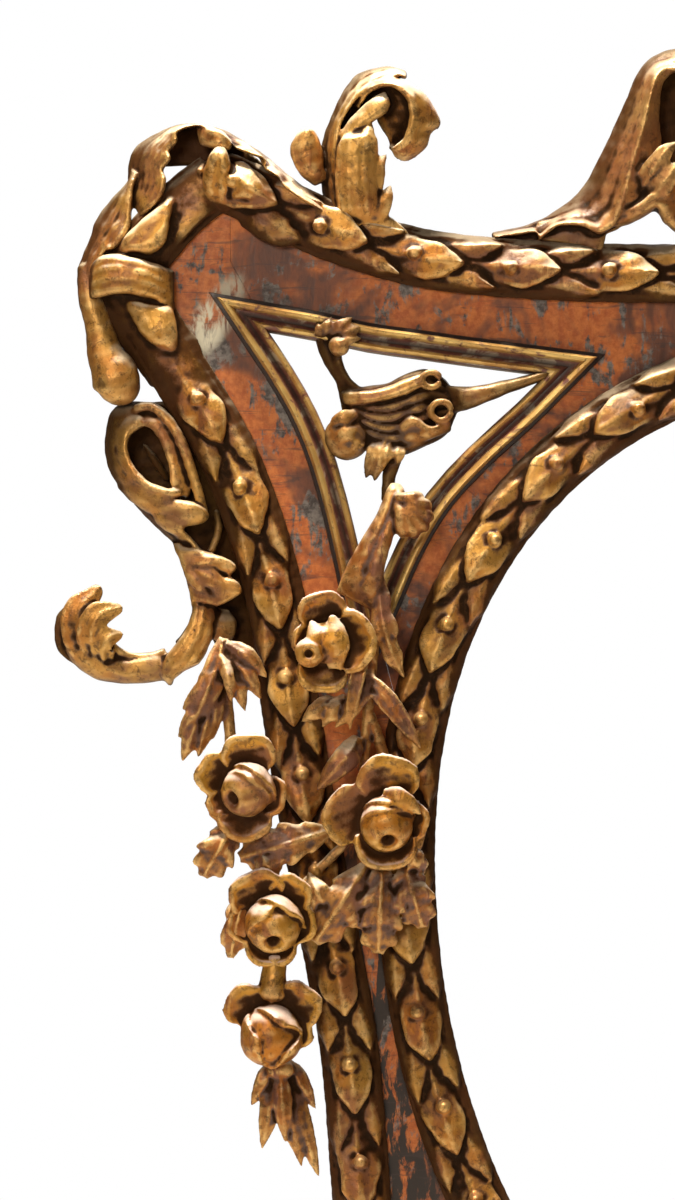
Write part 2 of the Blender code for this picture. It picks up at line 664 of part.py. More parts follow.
def build_ring(prefix, x):
    """A D-shaped wire ring: a straight bar in the loop and a round bow below it."""
    name = f"{prefix}_hanging_ring"
    curve = bpy.data.curves.new(name, "CURVE")
    curve.dimensions = "3D"
    curve.bevel_depth = RING_WIRE * MM
    curve.bevel_resolution = 1
    curve.resolution_u = 1
    curve.render_resolution_u = 0
    places = [(-RING_BAR_HALF, 0), (0, 0), (RING_BAR_HALF, 0), (RING_RADIUS, -RING_SHOULDER)]
    for k in range(1, 12):
        angle = math.pi * k / 12
        places.append((RING_RADIUS * math.cos(angle), -RING_BOW_DROP - RING_RADIUS * math.sin(angle)))
    places.append((-RING_RADIUS, -RING_SHOULDER))
    spline = curve.splines.new("POLY")
    spline.points.add(len(places) - 1)
    for point, (across, up) in zip(spline.points, places):
        point.co = (across * MM, 0, up * MM, 1.0)
    spline.use_cyclic_u = True
    item = link(name, curve, PARTS, IRON)
    item.location = world(x, HANGER_TOP, KNUCKLE_DEPTH)
    return item


def build_turn_button(name, board, x, height, turn):
    """A wooden turn button on its pivot screw, turned along the rail so that the rebate is free."""
    length, width, thick = BUTTON_SIZE
    item = box(f"{name}_turn_button", (length, thick, width), BARE_WOOD)
    item.data.transform(Matrix.Translation(((length / 2 - BUTTON_PIVOT_INSET) * MM, 0, 0)))
    bevel(item, 1.5)
    depth = BOARD_BACK - GAP - thick / 2
    item.location = world(x, height, depth)
    item.rotation_euler = (0, turn, 0)
    hole = rod(f"{name}_turn_button.hole", x, height, depth - thick, depth + thick, SCREW_HOLE / 2, CUTTERS)
    combine(item, [hole], "DIFFERENCE")
    screw(f"{name}_button_screw", x, height, depth - thick / 2 - GAP)
    drill(board, [(x, height)])


# --- assembly --------------------------------------------------------------------------------

clear_scene()
PARTS = collection("carved_wall_frame")
CUTTERS = collection("cutters")
GILT = material("gilt_wood", (0.46, 0.27, 0.07), 0.42, 0.55)
PAINTED = material("painted_frieze", (0.45, 0.14, 0.05), 0.55)
BEADING = material("maroon_and_gold_bead", (0.28, 0.10, 0.06), 0.5, 0.2)
BARE_WOOD = material("bare_old_wood", (0.36, 0.24, 0.14), 0.8)
IRON = material("blackened_iron", (0.06, 0.055, 0.05), 0.6, 0.8)

BOARDS = build_boards()
build_battens()
build_outer_mouldings()
build_sight_moulding()
build_spandrel_beads()
ENVELOPE = plate("frame_envelope", [outer_line(MOULDING_HALF + GAP)], ENVELOPE_BACK, ENVELOPE_FRONT, None, CUTTERS)
for SIDE in (-1, 1):
    build_side_ornaments(SIDE)
    build_spandrel_scroll(SIDE)
    build_garland(SIDE)
    build_roses(SIDE)
    build_hanger(SIDE, BOARDS[f"{side_name(SIDE)}_stile"])
build_cartouche()
PIVOT_OUT = REBATE + 18.0
build_turn_button("top", BOARDS["top_rail"], 0, SIGHT_SPRING + SIGHT_RISE + PIVOT_OUT, 0)
build_turn_button("left", BOARDS["left_stile"], -SIGHT_HALF_WIDTH - PIVOT_OUT, BUTTON_HEIGHT, math.pi / 2)
build_turn_button("right", BOARDS["right_stile"], SIGHT_HALF_WIDTH + PIVOT_OUT, BUTTON_HEIGHT, math.pi / 2)
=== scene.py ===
"""Looks of the carved giltwood wall frame: carved surfaces, gilding, paint, stage and camera.

Outlines and paths are on the same drawing as the frame's own: millimetres, as
(x, height, depth), with x = 0 on the axis of symmetry and depth towards the viewer.
"""
import math

import bpy
import numpy as np
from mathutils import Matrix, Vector


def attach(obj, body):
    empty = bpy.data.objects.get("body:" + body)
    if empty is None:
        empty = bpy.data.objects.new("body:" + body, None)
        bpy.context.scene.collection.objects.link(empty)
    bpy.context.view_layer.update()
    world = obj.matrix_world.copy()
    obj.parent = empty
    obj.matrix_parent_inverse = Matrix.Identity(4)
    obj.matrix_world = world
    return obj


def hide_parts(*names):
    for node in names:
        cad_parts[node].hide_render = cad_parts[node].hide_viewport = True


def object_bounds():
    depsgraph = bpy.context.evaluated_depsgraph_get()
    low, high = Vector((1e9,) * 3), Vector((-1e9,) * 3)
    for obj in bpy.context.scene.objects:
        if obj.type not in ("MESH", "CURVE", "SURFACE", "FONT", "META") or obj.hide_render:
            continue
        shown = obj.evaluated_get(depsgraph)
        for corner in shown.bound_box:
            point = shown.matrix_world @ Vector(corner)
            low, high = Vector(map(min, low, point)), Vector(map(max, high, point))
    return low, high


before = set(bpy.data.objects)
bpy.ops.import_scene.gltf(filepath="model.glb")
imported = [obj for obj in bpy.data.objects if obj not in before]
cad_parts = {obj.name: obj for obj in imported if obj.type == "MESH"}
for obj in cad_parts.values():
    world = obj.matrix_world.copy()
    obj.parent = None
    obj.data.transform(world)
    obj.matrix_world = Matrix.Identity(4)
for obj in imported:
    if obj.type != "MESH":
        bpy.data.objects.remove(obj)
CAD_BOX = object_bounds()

MM = 0.001
HANG_HEIGHT = 605.0                     # height on the drawing of the row's origin
VOXEL = 1.9      # carving resolution
ORNAMENT_VOXEL = 1.6
SMOOTH_ROUNDS = 3                       # relaxing of a fused carving
WAVE_LENGTH, WAVE_HEIGHT = 0.031, 0.0005    # m, of its hand-carved unevenness
FINE_ROUNDS, BROAD_ROUNDS = ((10, 80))
FINE_SCALE, BROAD_SCALE = 0.0008, 0.0040    # m that a point stands out at a relief of 1
BOARD_FRONT = 43.0                      # depth of the boards' painted face
MOULDING_BACK = 43.3                    # depth of the back of the carving that lies on them
MOULDING_HALF = 28.0                    # half the width of a leaf moulding


# --- lines ---

def spline(points, step=3.0):
    """Dense smooth line through the points, any number of columns; the first three are a place."""
    points = np.array(points, float)
    if len(points) == 2:
        count = max(2, int(np.linalg.norm(points[1, :3] - points[0, :3]) / step) + 1)
        t = np.linspace(0, 1, count)[:, None]
        return points[0] * (1 - t) + points[1] * t
    before = np.vstack([points[:1], points[:-1]])
    after = np.vstack([points[1:], points[-1:]])
    gaps = np.linalg.norm(points[1:, :3] - points[:-1, :3], axis=1)
    span = np.r_[0, gaps] + np.r_[gaps, 0]
    tangents = (after - before) / span[:, None]
    line = []
    for i, length in enumerate(gaps):
        count = max(1, int(math.ceil(length / step)))
        t = (np.arange(count) / count)[:, None]
        line.append(points[i] * (2 * t**3 - 3 * t**2 + 1) + points[i + 1] * (3 * t**2 - 2 * t**3)
                    + tangents[i] * length * (t**3 - 2 * t**2 + t)
                    + tangents[i + 1] * length * (t**3 - t**2))
    return np.vstack(line + [points[-1:]])


def unit(vectors):
    """The vectors at length 1."""
    return vectors / np.maximum(np.linalg.norm(vectors, axis=-1, keepdims=True), 1e-9)


def tangents_of(line):
    """The direction of a line at each of its points."""
    return unit(np.gradient(line[:, :3], axis=0))


def arc_of(line):
    """The distance along a line to each of its points."""
    return np.r_[0, np.cumsum(np.linalg.norm(np.diff(line[:, :3], axis=0), axis=1))]


def ramp(value, low, high):
    """0 below low, 1 above high and a smooth step between them."""
    t = np.clip((value - low) / (high - low), 0, 1)
    return t * t * (3 - 2 * t)


def steps(t, table):
    """The value at t in a table of (position, value), straight between its rows."""
    places, values = zip(*table)
    return np.interp(t, places, values)


# --- closed shells that a carving is made of ---

# how the half-width of a leaf varies, as (part of its length, part of its width)
LEAF = [(0, 0.35), (0.2, 0.8), (0.45, 1.0), (0.75, 0.72), (0.93, 0.3), (1, 0.06)]
SHIELD = [(0, 0.45), (0.12, 0.74), (0.35, 0.97), (0.58, 1.0), (0.74, 0.84), (0.90, 0.42), (1, 0.05)]
SPEAR = [(0, 0.35), (0.25, 0.75), (0.55, 1.0), (0.8, 0.72), (1, 0.05)]
BLUNT = [(0, 0.3), (0.25, 0.85), (0.5, 1.0), (0.8, 0.8), (1, 0.25)]


class Shells:
    """Closed shells on the drawing, collected for one carving."""

    def __init__(self):
        self.points, self.faces, self.count = [], [], 0

    def add(self, points, faces):
        self.points.append(np.asarray(points, float).reshape(-1, 3))
        self.faces.append(np.asarray(faces, int) + self.count)
        self.count += len(self.points[-1])

    def grid(self, rows, closed_across):
        """Quads of a grid of points, and its two end caps when it is closed across."""
        n, m = rows.shape[:2]
        i = np.arange(n - 1)[:, None]
        j = np.arange(m if closed_across else m - 1)[None, :]
        k = (j + 1) % m
        quads = np.stack([i * m + j, (i + 1) * m + j, (i + 1) * m + k, i * m + k], -1).reshape(-1, 4)
        if not closed_across:
            self.add(rows, quads)
            return
        centres = np.stack([rows[0].mean(0), rows[-1].mean(0)])
        first = np.stack([np.full(m, n * m), np.arange(m), (np.arange(m) + 1) % m,
                          (np.arange(m) + 1) % m], -1)
        last = np.stack([np.full(m, n * m + 1), (n - 1) * m + (np.arange(m) + 1) % m,
                         (n - 1) * m + np.arange(m), (n - 1) * m + np.arange(m)], -1)
        self.add(np.vstack([rows.reshape(-1, 3), centres]), np.vstack([quads, first, last]))

    def sheet(self, top, bottom):
        """A closed body between two grids of the same size."""
        ring = np.concatenate([top, bottom[:, ::-1]], axis=1)
        self.grid(ring, True)

    def mirrored(self):
        other = Shells()
        other.points = [p * [-1, 1, 1] for p in self.points]
        other.faces = [f[:, ::-1] for f in self.faces]
        other.count = self.count
        return other

    def join(self, other):
        for points, faces in zip(other.points, other.faces):
            self.points.append(points)
            self.faces.append(faces + self.count)
        self.count += other.count


def frames_along(line):
    """Along, across and up directions of a line, with up as near the viewer's side as it goes."""
    along = tangents_of(line)
    up = unit(np.array([0.0, 0.0, 1.0]) - along * along[:, 2:])
    return along, np.cross(along, up), up


def tube(shells, points, sides=18, ends=0.75):
    """A round stem through (x, height, depth, radius) points, with rounded ends."""
    line = spline(points)
    _, across, up = frames_along(line)
    arc = arc_of(line)
    radius = line[:, 3].copy()
    for distance in (arc, arc[-1] - arc):
        cap = np.clip(distance / (radius * ends + 0.01), 0, 1)
        radius = radius * np.sqrt(1 - (1 - cap) ** 2 * 0.96)
    angle = np.linspace(0, 2 * math.pi, sides, endpoint=False)
    rows = (line[:, None, :3] + across[:, None] * (radius[:, None] * np.cos(angle))[..., None]
            + up[:, None] * (radius[:, None] * np.sin(angle))[..., None])
    shells.grid(rows, True)


def ball(shells, centre, radii, hole=0.0, toward=(0, 0, 1), width=0.30):
    """An ellipsoid; hole sinks a pit into it by that share of its radius, on the side named."""
    if np.isscalar(radii):
        radii = (radii, radii, radii)
    turn = np.linspace(0, 2 * math.pi, 40, endpoint=False)
    tilt = np.linspace(0.02, math.pi - 0.02, 28)
    reach = np.sin(tilt)[:, None]
    front = np.cos(tilt)[:, None] * np.ones_like(turn)[None]
    rows = np.stack([reach * np.cos(turn), reach * np.sin(turn), front], -1)
    if hole:
        angle = np.arccos(np.clip(rows @ unit(np.array(toward, float)), -1, 1))
        rows = rows * (1 - hole * np.exp(-(angle / width) ** 4))[..., None]
    shells.grid(rows * np.asarray(radii, float) + np.asarray(centre, float), True)


def leaf(shells, points, half, shape=LEAF, lobes=0, notch=0.35, sweep=None, cup=0.0, ridge=0.0,
         veins=0.0, vein_count=0, thick=5.0, columns=17):
    """A carved leaf along (x, height, depth) points.

    half is its greatest half-width and shape how that varies from base to tip. Lobes point
    towards the tip, and sweep is how far. cup lifts the edges, ridge raises the midrib, veins
    sinks the notches between the lobes and vein_count is the number of grooves.
    """
    line = spline(points)
    along, across, up = frames_along(line)
    t = arc_of(line) / arc_of(line)[-1]
    lobe = np.ones_like(t)
    if lobes:
        part = (t * (lobes + 0.35)) % 1.0
        lobe = ramp(part, 0.0, 0.6) * (1 - ramp(part, 0.78, 1.0))
    width = half * steps(t, shape)
    edge = (width * (1 - notch * (1 - lobe)))[:, None]
    s = np.linspace(-1, 1, columns)
    a = np.abs(s)
    if sweep is None:
        sweep = 0.4 if lobes else -0.45
    reach = edge * s[None, :]
    lean = sweep * edge * (a ** 1.5)[None, :]
    lift = cup * width[:, None] * (a ** 2)[None, :] + ridge * np.exp(-(s / 0.16) ** 2)[None, :]
    if lobes and veins:
        lift = (lift - veins * (1 - lobe)[:, None] * (a ** 0.8)[None, :]
                + 0.4 * veins * lobe[:, None] * a[None, :])
    if vein_count:
        groove = 0.9 * (0.5 - 0.5 * np.cos(vein_count * math.pi * (s + 1)))
        lift = lift - groove[None, :] * ramp(t, 0, 0.15)[:, None]
    top = (line[:, None, :3] + across[:, None] * reach[..., None] + along[:, None] * lean[..., None]
           + up[:, None] * lift[..., None])
    depth = thick * (1 - 0.45 * a ** 2)[None, :, None] * (1 - 0.35 * ramp(t, 0.7, 1.0))[:, None, None]
    shells.sheet(top, top - up[:, None] * depth)


def arched(shells, root, tip, half, bend, **cut):
    """A carved leaf from root to tip, whose middle is moved by bend."""
    middle = tuple((np.array(root) + tip) / 2 + bend)
    leaf(shells, [root, middle, tip], half, **cut)


def blade(shells, one, two, crown, thick, grooves=0, groove=1.5, columns=25):
    """A carved strip between two edges of (x, height, depth), bulged and fluted lengthwise."""
    count = 60
    edges = []
    for points in (one, two):
        line = spline(points)
        places = np.linspace(0, arc_of(line)[-1], count)
        edges.append(np.stack([np.interp(places, arc_of(line), line[:, k]) for k in range(3)], -1))
    t = np.linspace(0, 1, count)[:, None]
    strip(shells, *edges, crown, thick, grooves, groove, columns,
          ramp(t, 0.0, 0.15) * (1 - ramp(t, 0.85, 1.0) * 0.6))


def panel(shells, rows, crown, thick, grooves=0, groove=1.6, columns=25, tips=0.0):
    """A carved strip through rows of (x, height, depth, x, height, depth), from edge to edge.

    crown is how far it bulges, thick how far its back lies behind it, grooves the number of
    flutes and groove their depth, columns the points across it. tips makes the second edge run
    straighter from row to row, for pointed lobes.
    """
    rows = np.array(rows, float)
    last = len(rows) - 1
    t = np.linspace(0, last, 12 * last + 1)
    k = np.minimum(t.astype(int), last - 1)
    f = (t - k)[:, None]
    before, here, after, beyond = (rows[np.clip(k + step, 0, last)] for step in (-1, 0, 1, 2))
    smooth = 0.5 * (2 * here + (after - before) * f + (2 * before - 5 * here + 4 * after - beyond) * f**2
                    + (3 * here - before - 3 * after + beyond) * f**3)
    straight = here + (after - here) * f
    near = ramp(np.minimum(t, last - t), 0.0, 0.9)[:, None]
    second = smooth[:, 3:] + tips * (straight - smooth)[:, 3:]
    strip(shells, smooth[:, :3], second, crown, thick, grooves, groove, columns, near)


def strip(shells, one, two, crown, thick, grooves, groove, columns, near):
    """The body between two dense edges; near is 0 to 1 along it, and small where the relief dies away."""
    s = np.linspace(0, 1, columns)[None]
    top = one[:, None] * (1 - s)[..., None] + two[:, None] * s[..., None]
    bulge = crown * np.sqrt(np.clip(4 * s * (1 - s), 0, 1)) * (0.3 + 0.7 * near)
    if grooves:
        bulge = bulge - groove * (1 - np.abs(np.sin(math.pi * grooves * s)) ** 0.8) * (0.25 + 0.75 * near)
    top[..., 2] += bulge
    bottom = top.copy()
    bottom[..., 2] -= thick + np.maximum(bulge, 0) * 0.5
    shells.sheet(top, bottom)


def lid(shells, centre, radius, turn, spread, front, squash=0.8):
    """A petal closed over a bud: part of a sphere that ends in a rim.

    turn is the direction its middle faces, in degrees, and front how near its rim comes to the
    bud's own front, in radians.
    """
    thick, back = 4.0, 2.0
    v = np.linspace(-1, 1, 21)[:, None]
    u = np.linspace(0, 1, 17)[None]
    polar = back + (front + 0.55 * np.abs(v) ** 2.5 - back) * u
    azimuth = np.radians(turn + spread * v * (1 - 0.25 * u ** 2))
    reach = radius * (1 + 0.10 * ramp(u, 0.55, 1.0) + 0.02 * np.sin(5 * v))
    sheets = []
    for r in (reach, reach - thick):
        sheets.append(np.stack([centre[0] + r * np.sin(polar) * np.cos(azimuth),
                                centre[1] + r * np.sin(polar) * np.sin(azimuth),
                                centre[2] + r * squash * np.cos(polar) + 0 * azimuth], -1))
    shells.sheet(*sheets)


def bowl_petal(shells, centre, inner, outer, turn, spread, low, high):
    """An open petal: a wall round part of a rose that rises from low at the bud to high at its rim."""
    close, lip, thick = 0.28, 3.0, 4.5
    v = np.linspace(-1, 1, 29)[:, None]
    u = np.linspace(0, 1, 21)[None]
    edge = outer * (1 - close * np.abs(v) ** 2.6 + 0.018 * np.sin(7 * v + turn))
    reach = inner + (edge - inner) * u
    azimuth = np.radians(turn + spread * v)
    rise = low + (high - low) * u ** 1.5 * (1 - 0.30 * np.abs(v) ** 3) - lip * ramp(u, 0.86, 1.0)
    sheets = []
    for out, down in ((0.0, 0.0), (0.55 * thick, 0.85 * thick)):
        x = centre[0] + (reach + out) * np.cos(azimuth)
        height = centre[1] + (reach + out) * np.sin(azimuth)
        sheets.append(np.stack([x, height, rise - down], -1))
    shells.sheet(*sheets)


# --- carvings: from shells to finished pieces ---

def neighbours(mesh):
    """Both ends of each edge, both ways round, and each vertex's number of edges."""
    edges = np.empty(len(mesh.edges) * 2, np.int64)
    mesh.edges.foreach_get("vertices", edges)
    edges = edges.reshape(-1, 2)
    starts = np.r_[edges[:, 0], edges[:, 1]]
    ends = np.r_[edges[:, 1], edges[:, 0]]
    count = np.maximum(np.bincount(starts, minlength=len(mesh.vertices)), 1)
    return starts, ends, count


def relaxed(values, links, rounds, amount=1.0):
    """Values averaged with their neighbours, a number of rounds."""
    starts, ends, count = links
    values = values.copy()
    for _ in range(rounds):
        total = np.stack([np.bincount(starts, values[ends, k], minlength=len(count)) for k in range(3)], -1)
        values += amount * (total / count[:, None] - values)
    return values


def vectors_of(mesh, what):
    """The places or normals of a mesh's vertices."""
    values = np.empty(len(mesh.vertices) * 3)
    mesh.vertices.foreach_get(what, values)
    return values.reshape(-1, 3)


def note_relief(mesh):
    """Store how far each point stands out of, or sinks into, its surroundings."""
    links = neighbours(mesh)
    places, normals = vectors_of(mesh, "co"), vectors_of(mesh, "normal")
    fine = relaxed(places, links, FINE_ROUNDS)
    broad = relaxed(fine, links, BROAD_ROUNDS)
    for name, smooth, scale in (("fine_relief", fine, FINE_SCALE), ("broad_relief", broad, BROAD_SCALE)):
        relief = np.sum((places - smooth) * normals, axis=1) / scale
        layer = mesh.attributes.new(name, "FLOAT", "POINT")
        layer.data.foreach_set("value", np.clip(0.5 + 0.5 * relief, 0, 1).astype(np.float32))


def mesh_from(name, points, faces):
    """A mesh in the world from points on the drawing."""
    world = np.stack([points[:, 0], -points[:, 2], points[:, 1] - HANG_HEIGHT], -1) * MM
    mesh = bpy.data.meshes.new(name)
    quads = [tuple(dict.fromkeys(face)) for face in faces.tolist()]
    mesh.from_pydata(world.tolist(), [], quads)
    return mesh


def wobble(places):
    """Small hand-carved unevenness, the same at the same place each run."""
    waves = np.zeros(len(places))
    for k, (a, b, c) in enumerate(((1.0, 0.6, 0.3), (-0.5, 1.1, 0.7), (0.8, -0.9, 0.5), (0.3, 0.4, -1.2))):
        turns = (places @ np.array([a, b, c])) * (2 * math.pi / WAVE_LENGTH) * (1 + 0.37 * k)
        waves += np.sin(turns + 1.7 * k)
    return waves * WAVE_HEIGHT / 4


def carved(name, shells, voxel=VOXEL):
    """Fuse the shells into one carved surface."""
    raw = mesh_from(name + ".raw", np.vstack(shells.points), np.vstack(shells.faces))
    holder = bpy.data.objects.new(name + ".raw", raw)
    bpy.context.scene.collection.objects.link(holder)
    fuse = holder.modifiers.new("fuse", "REMESH")
    fuse.mode = "VOXEL"
    fuse.voxel_size = voxel * MM
    seen = holder.evaluated_get(bpy.context.evaluated_depsgraph_get())
    mesh = bpy.data.meshes.new_from_object(seen)
    mesh.name = name
    bpy.data.objects.remove(holder, do_unlink=True)
    bpy.data.meshes.remove(raw)
    places = relaxed(vectors_of(mesh, "co"), neighbours(mesh), SMOOTH_ROUNDS, 0.6)
    places += vectors_of(mesh, "normal") * wobble(places)[:, None]
    mesh.vertices.foreach_set("co", places.ravel())
    mesh.update()
    note_relief(mesh)
    mesh.shade_smooth()
    return mesh


def mirrored_mesh(mesh, name):
    """The mesh on the other side of the axis of symmetry."""
    other = mesh.copy()
    other.name = name
    other.vertices.foreach_set("co", (vectors_of(other, "co") * [-1, 1, 1]).ravel())
    other.flip_normals()
    other.update()
    return other


def place(name, mesh, look, slot="gilt_wood", body="root"):
    """Show a finished mesh in place of the CAD node of the same name."""
    mesh.materials.clear()
    mesh.materials.append(look)
    item = bpy.data.objects.new("carved_" + name, mesh)
    bpy.context.scene.collection.objects.link(item)
    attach(item, body)
    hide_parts(name)


def place_pair(part, shells, look, voxel=ORNAMENT_VOXEL):
    """Carve the left one of a pair, and show it and its mirror image."""
    mesh = carved("left_" + part, shells, voxel)
    place("left_" + part, mesh, look)
    place("right_" + part, mirrored_mesh(mesh, "right_" + part), look)


def finish_across(name, half, look):
    """Carve a piece that runs across the middle from its left half."""
    half.join(half.mirrored())
    place(name, carved(name, half), look)


# --- materials ---

class Look:
    """A small helper to write a node material."""

    def __init__(self, name):
        self.material = bpy.data.materials.new(name)
        self.material.use_nodes = True
        self.nodes = self.material.node_tree.nodes
        self.links = self.material.node_tree.links
        self.shader = self.nodes["Principled BSDF"]
        self.where = self.nodes.new("ShaderNodeTexCoord").outputs["Object"]

    def plug(self, socket, value):
        if isinstance(value, bpy.types.NodeSocket):
            self.links.new(value, socket)
        elif isinstance(value, tuple) and len(value) == 3 and socket.type == "RGBA":
            socket.default_value = (*value, 1.0)
        else:
            socket.default_value = value

    def noise(self, scale, detail=4.0, rough=0.6, stretch=None, warp=0.0):
        node = self.nodes.new("ShaderNodeTexNoise")
        node.inputs["Scale"].default_value = scale
        node.inputs["Detail"].default_value = detail
        node.inputs["Roughness"].default_value = rough
        node.inputs["Distortion"].default_value = warp
        source = self.where
        if stretch:
            mapping = self.nodes.new("ShaderNodeMapping")
            mapping.inputs["Scale"].default_value = stretch
            self.links.new(source, mapping.inputs["Vector"])
            source = mapping.outputs["Vector"]
        self.links.new(source, node.inputs["Vector"])
        return node.outputs["Fac"]

    def attribute(self, name):
        node = self.nodes.new("ShaderNodeAttribute")
        node.attribute_name = name
        return node.outputs["Fac"]

    def span(self, value, low, high, to_low=0.0, to_high=1.0):
        node = self.nodes.new("ShaderNodeMapRange")
        node.interpolation_type = "SMOOTHSTEP"
        self.plug(node.inputs["Value"], value)
        for key, number in (("From Min", low), ("From Max", high), ("To Min", to_low), ("To Max", to_high)):
            node.inputs[key].default_value = number
        return node.outputs["Result"]

    def math(self, operation, a, b=0.0):
        node = self.nodes.new("ShaderNodeMath")
        node.operation = operation
        for socket, value in zip(node.inputs, (a, b)):
            self.plug(socket, value)
        return node.outputs["Value"]

    def times(self, a, b):
        return self.math("MULTIPLY", a, b)

    def plus(self, a, b):
        return self.math("ADD", a, b)

    def mix(self, share, a, b):
        node = self.nodes.new("ShaderNodeMix")
        node.data_type = "RGBA"
        self.plug(node.inputs["Factor"], share)
        self.plug(node.inputs["A"], a)
        self.plug(node.inputs["B"], b)
        return node.outputs["Result"]

    def bump(self, height, distance, strength, after=None):
        node = self.nodes.new("ShaderNodeBump")
        node.inputs["Distance"].default_value = distance
        node.inputs["Strength"].default_value = strength
        self.plug(node.inputs["Height"], height)
        if after:
            self.links.new(after, node.inputs["Normal"])
        return node.outputs["Normal"]

    def upward(self):
        """How far the surface faces up."""
        geometry = self.nodes.new("ShaderNodeNewGeometry")
        split = self.nodes.new("ShaderNodeSeparateXYZ")
        self.links.new(geometry.outputs["Normal"], split.inputs["Vector"])
        return split.outputs["Z"]

    def split(self):
        node = self.nodes.new("ShaderNodeSeparateXYZ")
        self.links.new(self.where, node.inputs["Vector"])
        return node.outputs

    def finish(self, colour, roughness, metallic=None, normal=None, specular=None):
        self.plug(self.shader.inputs["Base Color"], colour)
        self.plug(self.shader.inputs["Roughness"], roughness)
        if metallic is not None:
            self.plug(self.shader.inputs["Metallic"], metallic)
        if normal is not None:
            self.plug(self.shader.inputs["Normal"], normal)
        if specular is not None:
            self.plug(self.shader.inputs["Specular IOR Level"], specular)
        return self.material


# linear colours that the gildings share
EDGE_HIGHLIGHT_GOLD = (0.80, 0.50, 0.18)      # painted highlight on the sharp edges
HOLLOW_SHADE_AND_PATINA = (0.022, 0.010, 0.004)            # painted shade and patina, deep in the carving
FLECK = (0.05, 0.022, 0.009)
PORE = (0.07, 0.030, 0.011)


def gilt_look(name, gold, bole=(0.26, 0.085, 0.03), brown=(0.11, 0.05, 0.018), rubbed=0.5, dust_and_light=0.9,
              low=0.048, high=0.062, lost=0.0, hollow_shade=1.0, still=1.0, base=0.25, dust_and_light_colour=(0.82, 0.70, 0.50)):
    """Worn water gilding: gold on the high places, red bole where it is rubbed, patina and painted
    shade in the hollows and further back, painted highlights on sharp edges, and dusting with a
    painted top light on what faces up.

    low and high are the depths between which the painted shade of what lies back gives way to
    full gold, and base is the share of the gold that is left at the back. lost is how much more
    of the gold has gone than usual, and hollow_shade scales the painted shade and patina in the
    hollows. dust_and_light_colour is the colour of the dusting and painted top light on what faces
    up, dust_and_light its share and still the part of it that the lower half of the frame has.
    """
    look = Look(name)
    fine, broad = look.attribute("fine_relief"), look.attribute("broad_relief")
    cloud = look.noise(13.0, 3.0)
    stain = look.noise(8.0, 5.0, 0.62, None, 0.7)
    grime = look.noise(38.0, 5.0, 0.7)
    speck = look.noise(150.0, 4.0, 0.75)
    pores = look.noise(85.0, 5.0, 0.75, None, 0.5)
    streak = look.noise(60.0, 4.0, 0.6, (1.0, 1.0, 0.30), 0.6)
    _, depth, z = look.split()
    height = look.plus(look.times(fine, 0.45), look.times(broad, 0.55))
    uneven = look.times(look.math("SUBTRACT", grime, 0.5), 0.46)
    height = look.plus(height, uneven)
    # painted shade: what lies further back loses its gold and darkens, down to the share base
    ground = look.span(look.plus(depth, look.times(uneven, 0.03)), -low, -high, base, 1.0)
    gilded = look.times(look.span(height, 0.38 + lost, 0.56 + lost), ground)
    reddened = tuple(c * k for c, k in zip(gold, (0.86, 0.62, 0.5)))
    warm = look.mix(look.span(cloud, 0.38, 0.62), gold, reddened)
    # painted highlight: paler gold where the carving stands out sharply
    edge = look.times(look.span(fine, 0.58, 0.88), look.span(grime, 0.40, 0.62, 0.15, 0.85))
    bright = look.mix(edge, warm, EDGE_HIGHLIGHT_GOLD)
    worn = look.times(look.span(streak, 0.50, 0.62), look.span(cloud, 0.44, 0.58, 0.2, 1.0))
    with_bole = look.mix(look.times(worn, rubbed + 0.25), bright, bole)
    coloured = look.mix(gilded, brown, with_bole)
    stained = look.times(look.span(look.plus(stain, look.times(uneven, 0.25)), 0.50, 0.60),
                         look.span(fine, 0.55, 0.85, 0.78, 0.25))
    coloured = look.mix(stained, coloured, tuple(0.6 * a + 0.5 * b for a, b in zip(brown, bole)))
    # painted shade and patina: low, far-back places turn to a near-black brown
    deep = look.times(look.span(height, 0.28, 0.50), look.span(ground, 0.3, 0.7, 0.35, 1.0))
    with_hollow_shade = look.mix(look.math("SUBTRACT", 1.0, look.times(look.math("SUBTRACT", 1.0, deep), hollow_shade)),
                    HOLLOW_SHADE_AND_PATINA, coloured)
    flecked = look.mix(look.times(look.span(speck, 0.53, 0.66), 0.50), with_hollow_shade, FLECK)
    flecked = look.mix(look.times(look.span(pores, 0.54, 0.64), 0.62), flecked, PORE)
    # dusting and a painted top light: raised places that face up turn pale, less so low on the frame
    dust_and_top_light = look.times(look.span(look.upward(), 0.30, 0.68), look.span(grime, 0.32, 0.55, 0.45, 1.0))
    raised = look.times(look.span(height, 0.42, 0.60), look.span(ground, 0.25, 0.8, 0.3, 1.0))
    dust_and_top_light = look.times(dust_and_top_light, raised)
    dust_and_top_light = look.times(dust_and_top_light, look.span(z, -0.25, 0.0, still, 1.0))
    dust_and_top_light = look.times(dust_and_top_light, dust_and_light)
    colour = look.mix(dust_and_top_light, flecked, dust_and_light_colour)
    metallic = look.times(gilded, look.span(dust_and_top_light, 0.0, 0.6, 0.60, 0.08))
    metallic = look.times(metallic, look.span(stained, 0.0, 0.8, 1.0, 0.35))
    rough = look.span(look.plus(look.times(speck, 0.5), look.times(grime, 0.5)),
                      0.3, 0.7, 0.28, 0.56)
    normal = look.bump(streak, 0.0020, 0.6)
    normal = look.bump(speck, 0.0010, 0.7, normal)
    return look.finish(colour, rough, metallic, normal, look.span(deep, 0.3, 1.0, 0.04, 0.45))


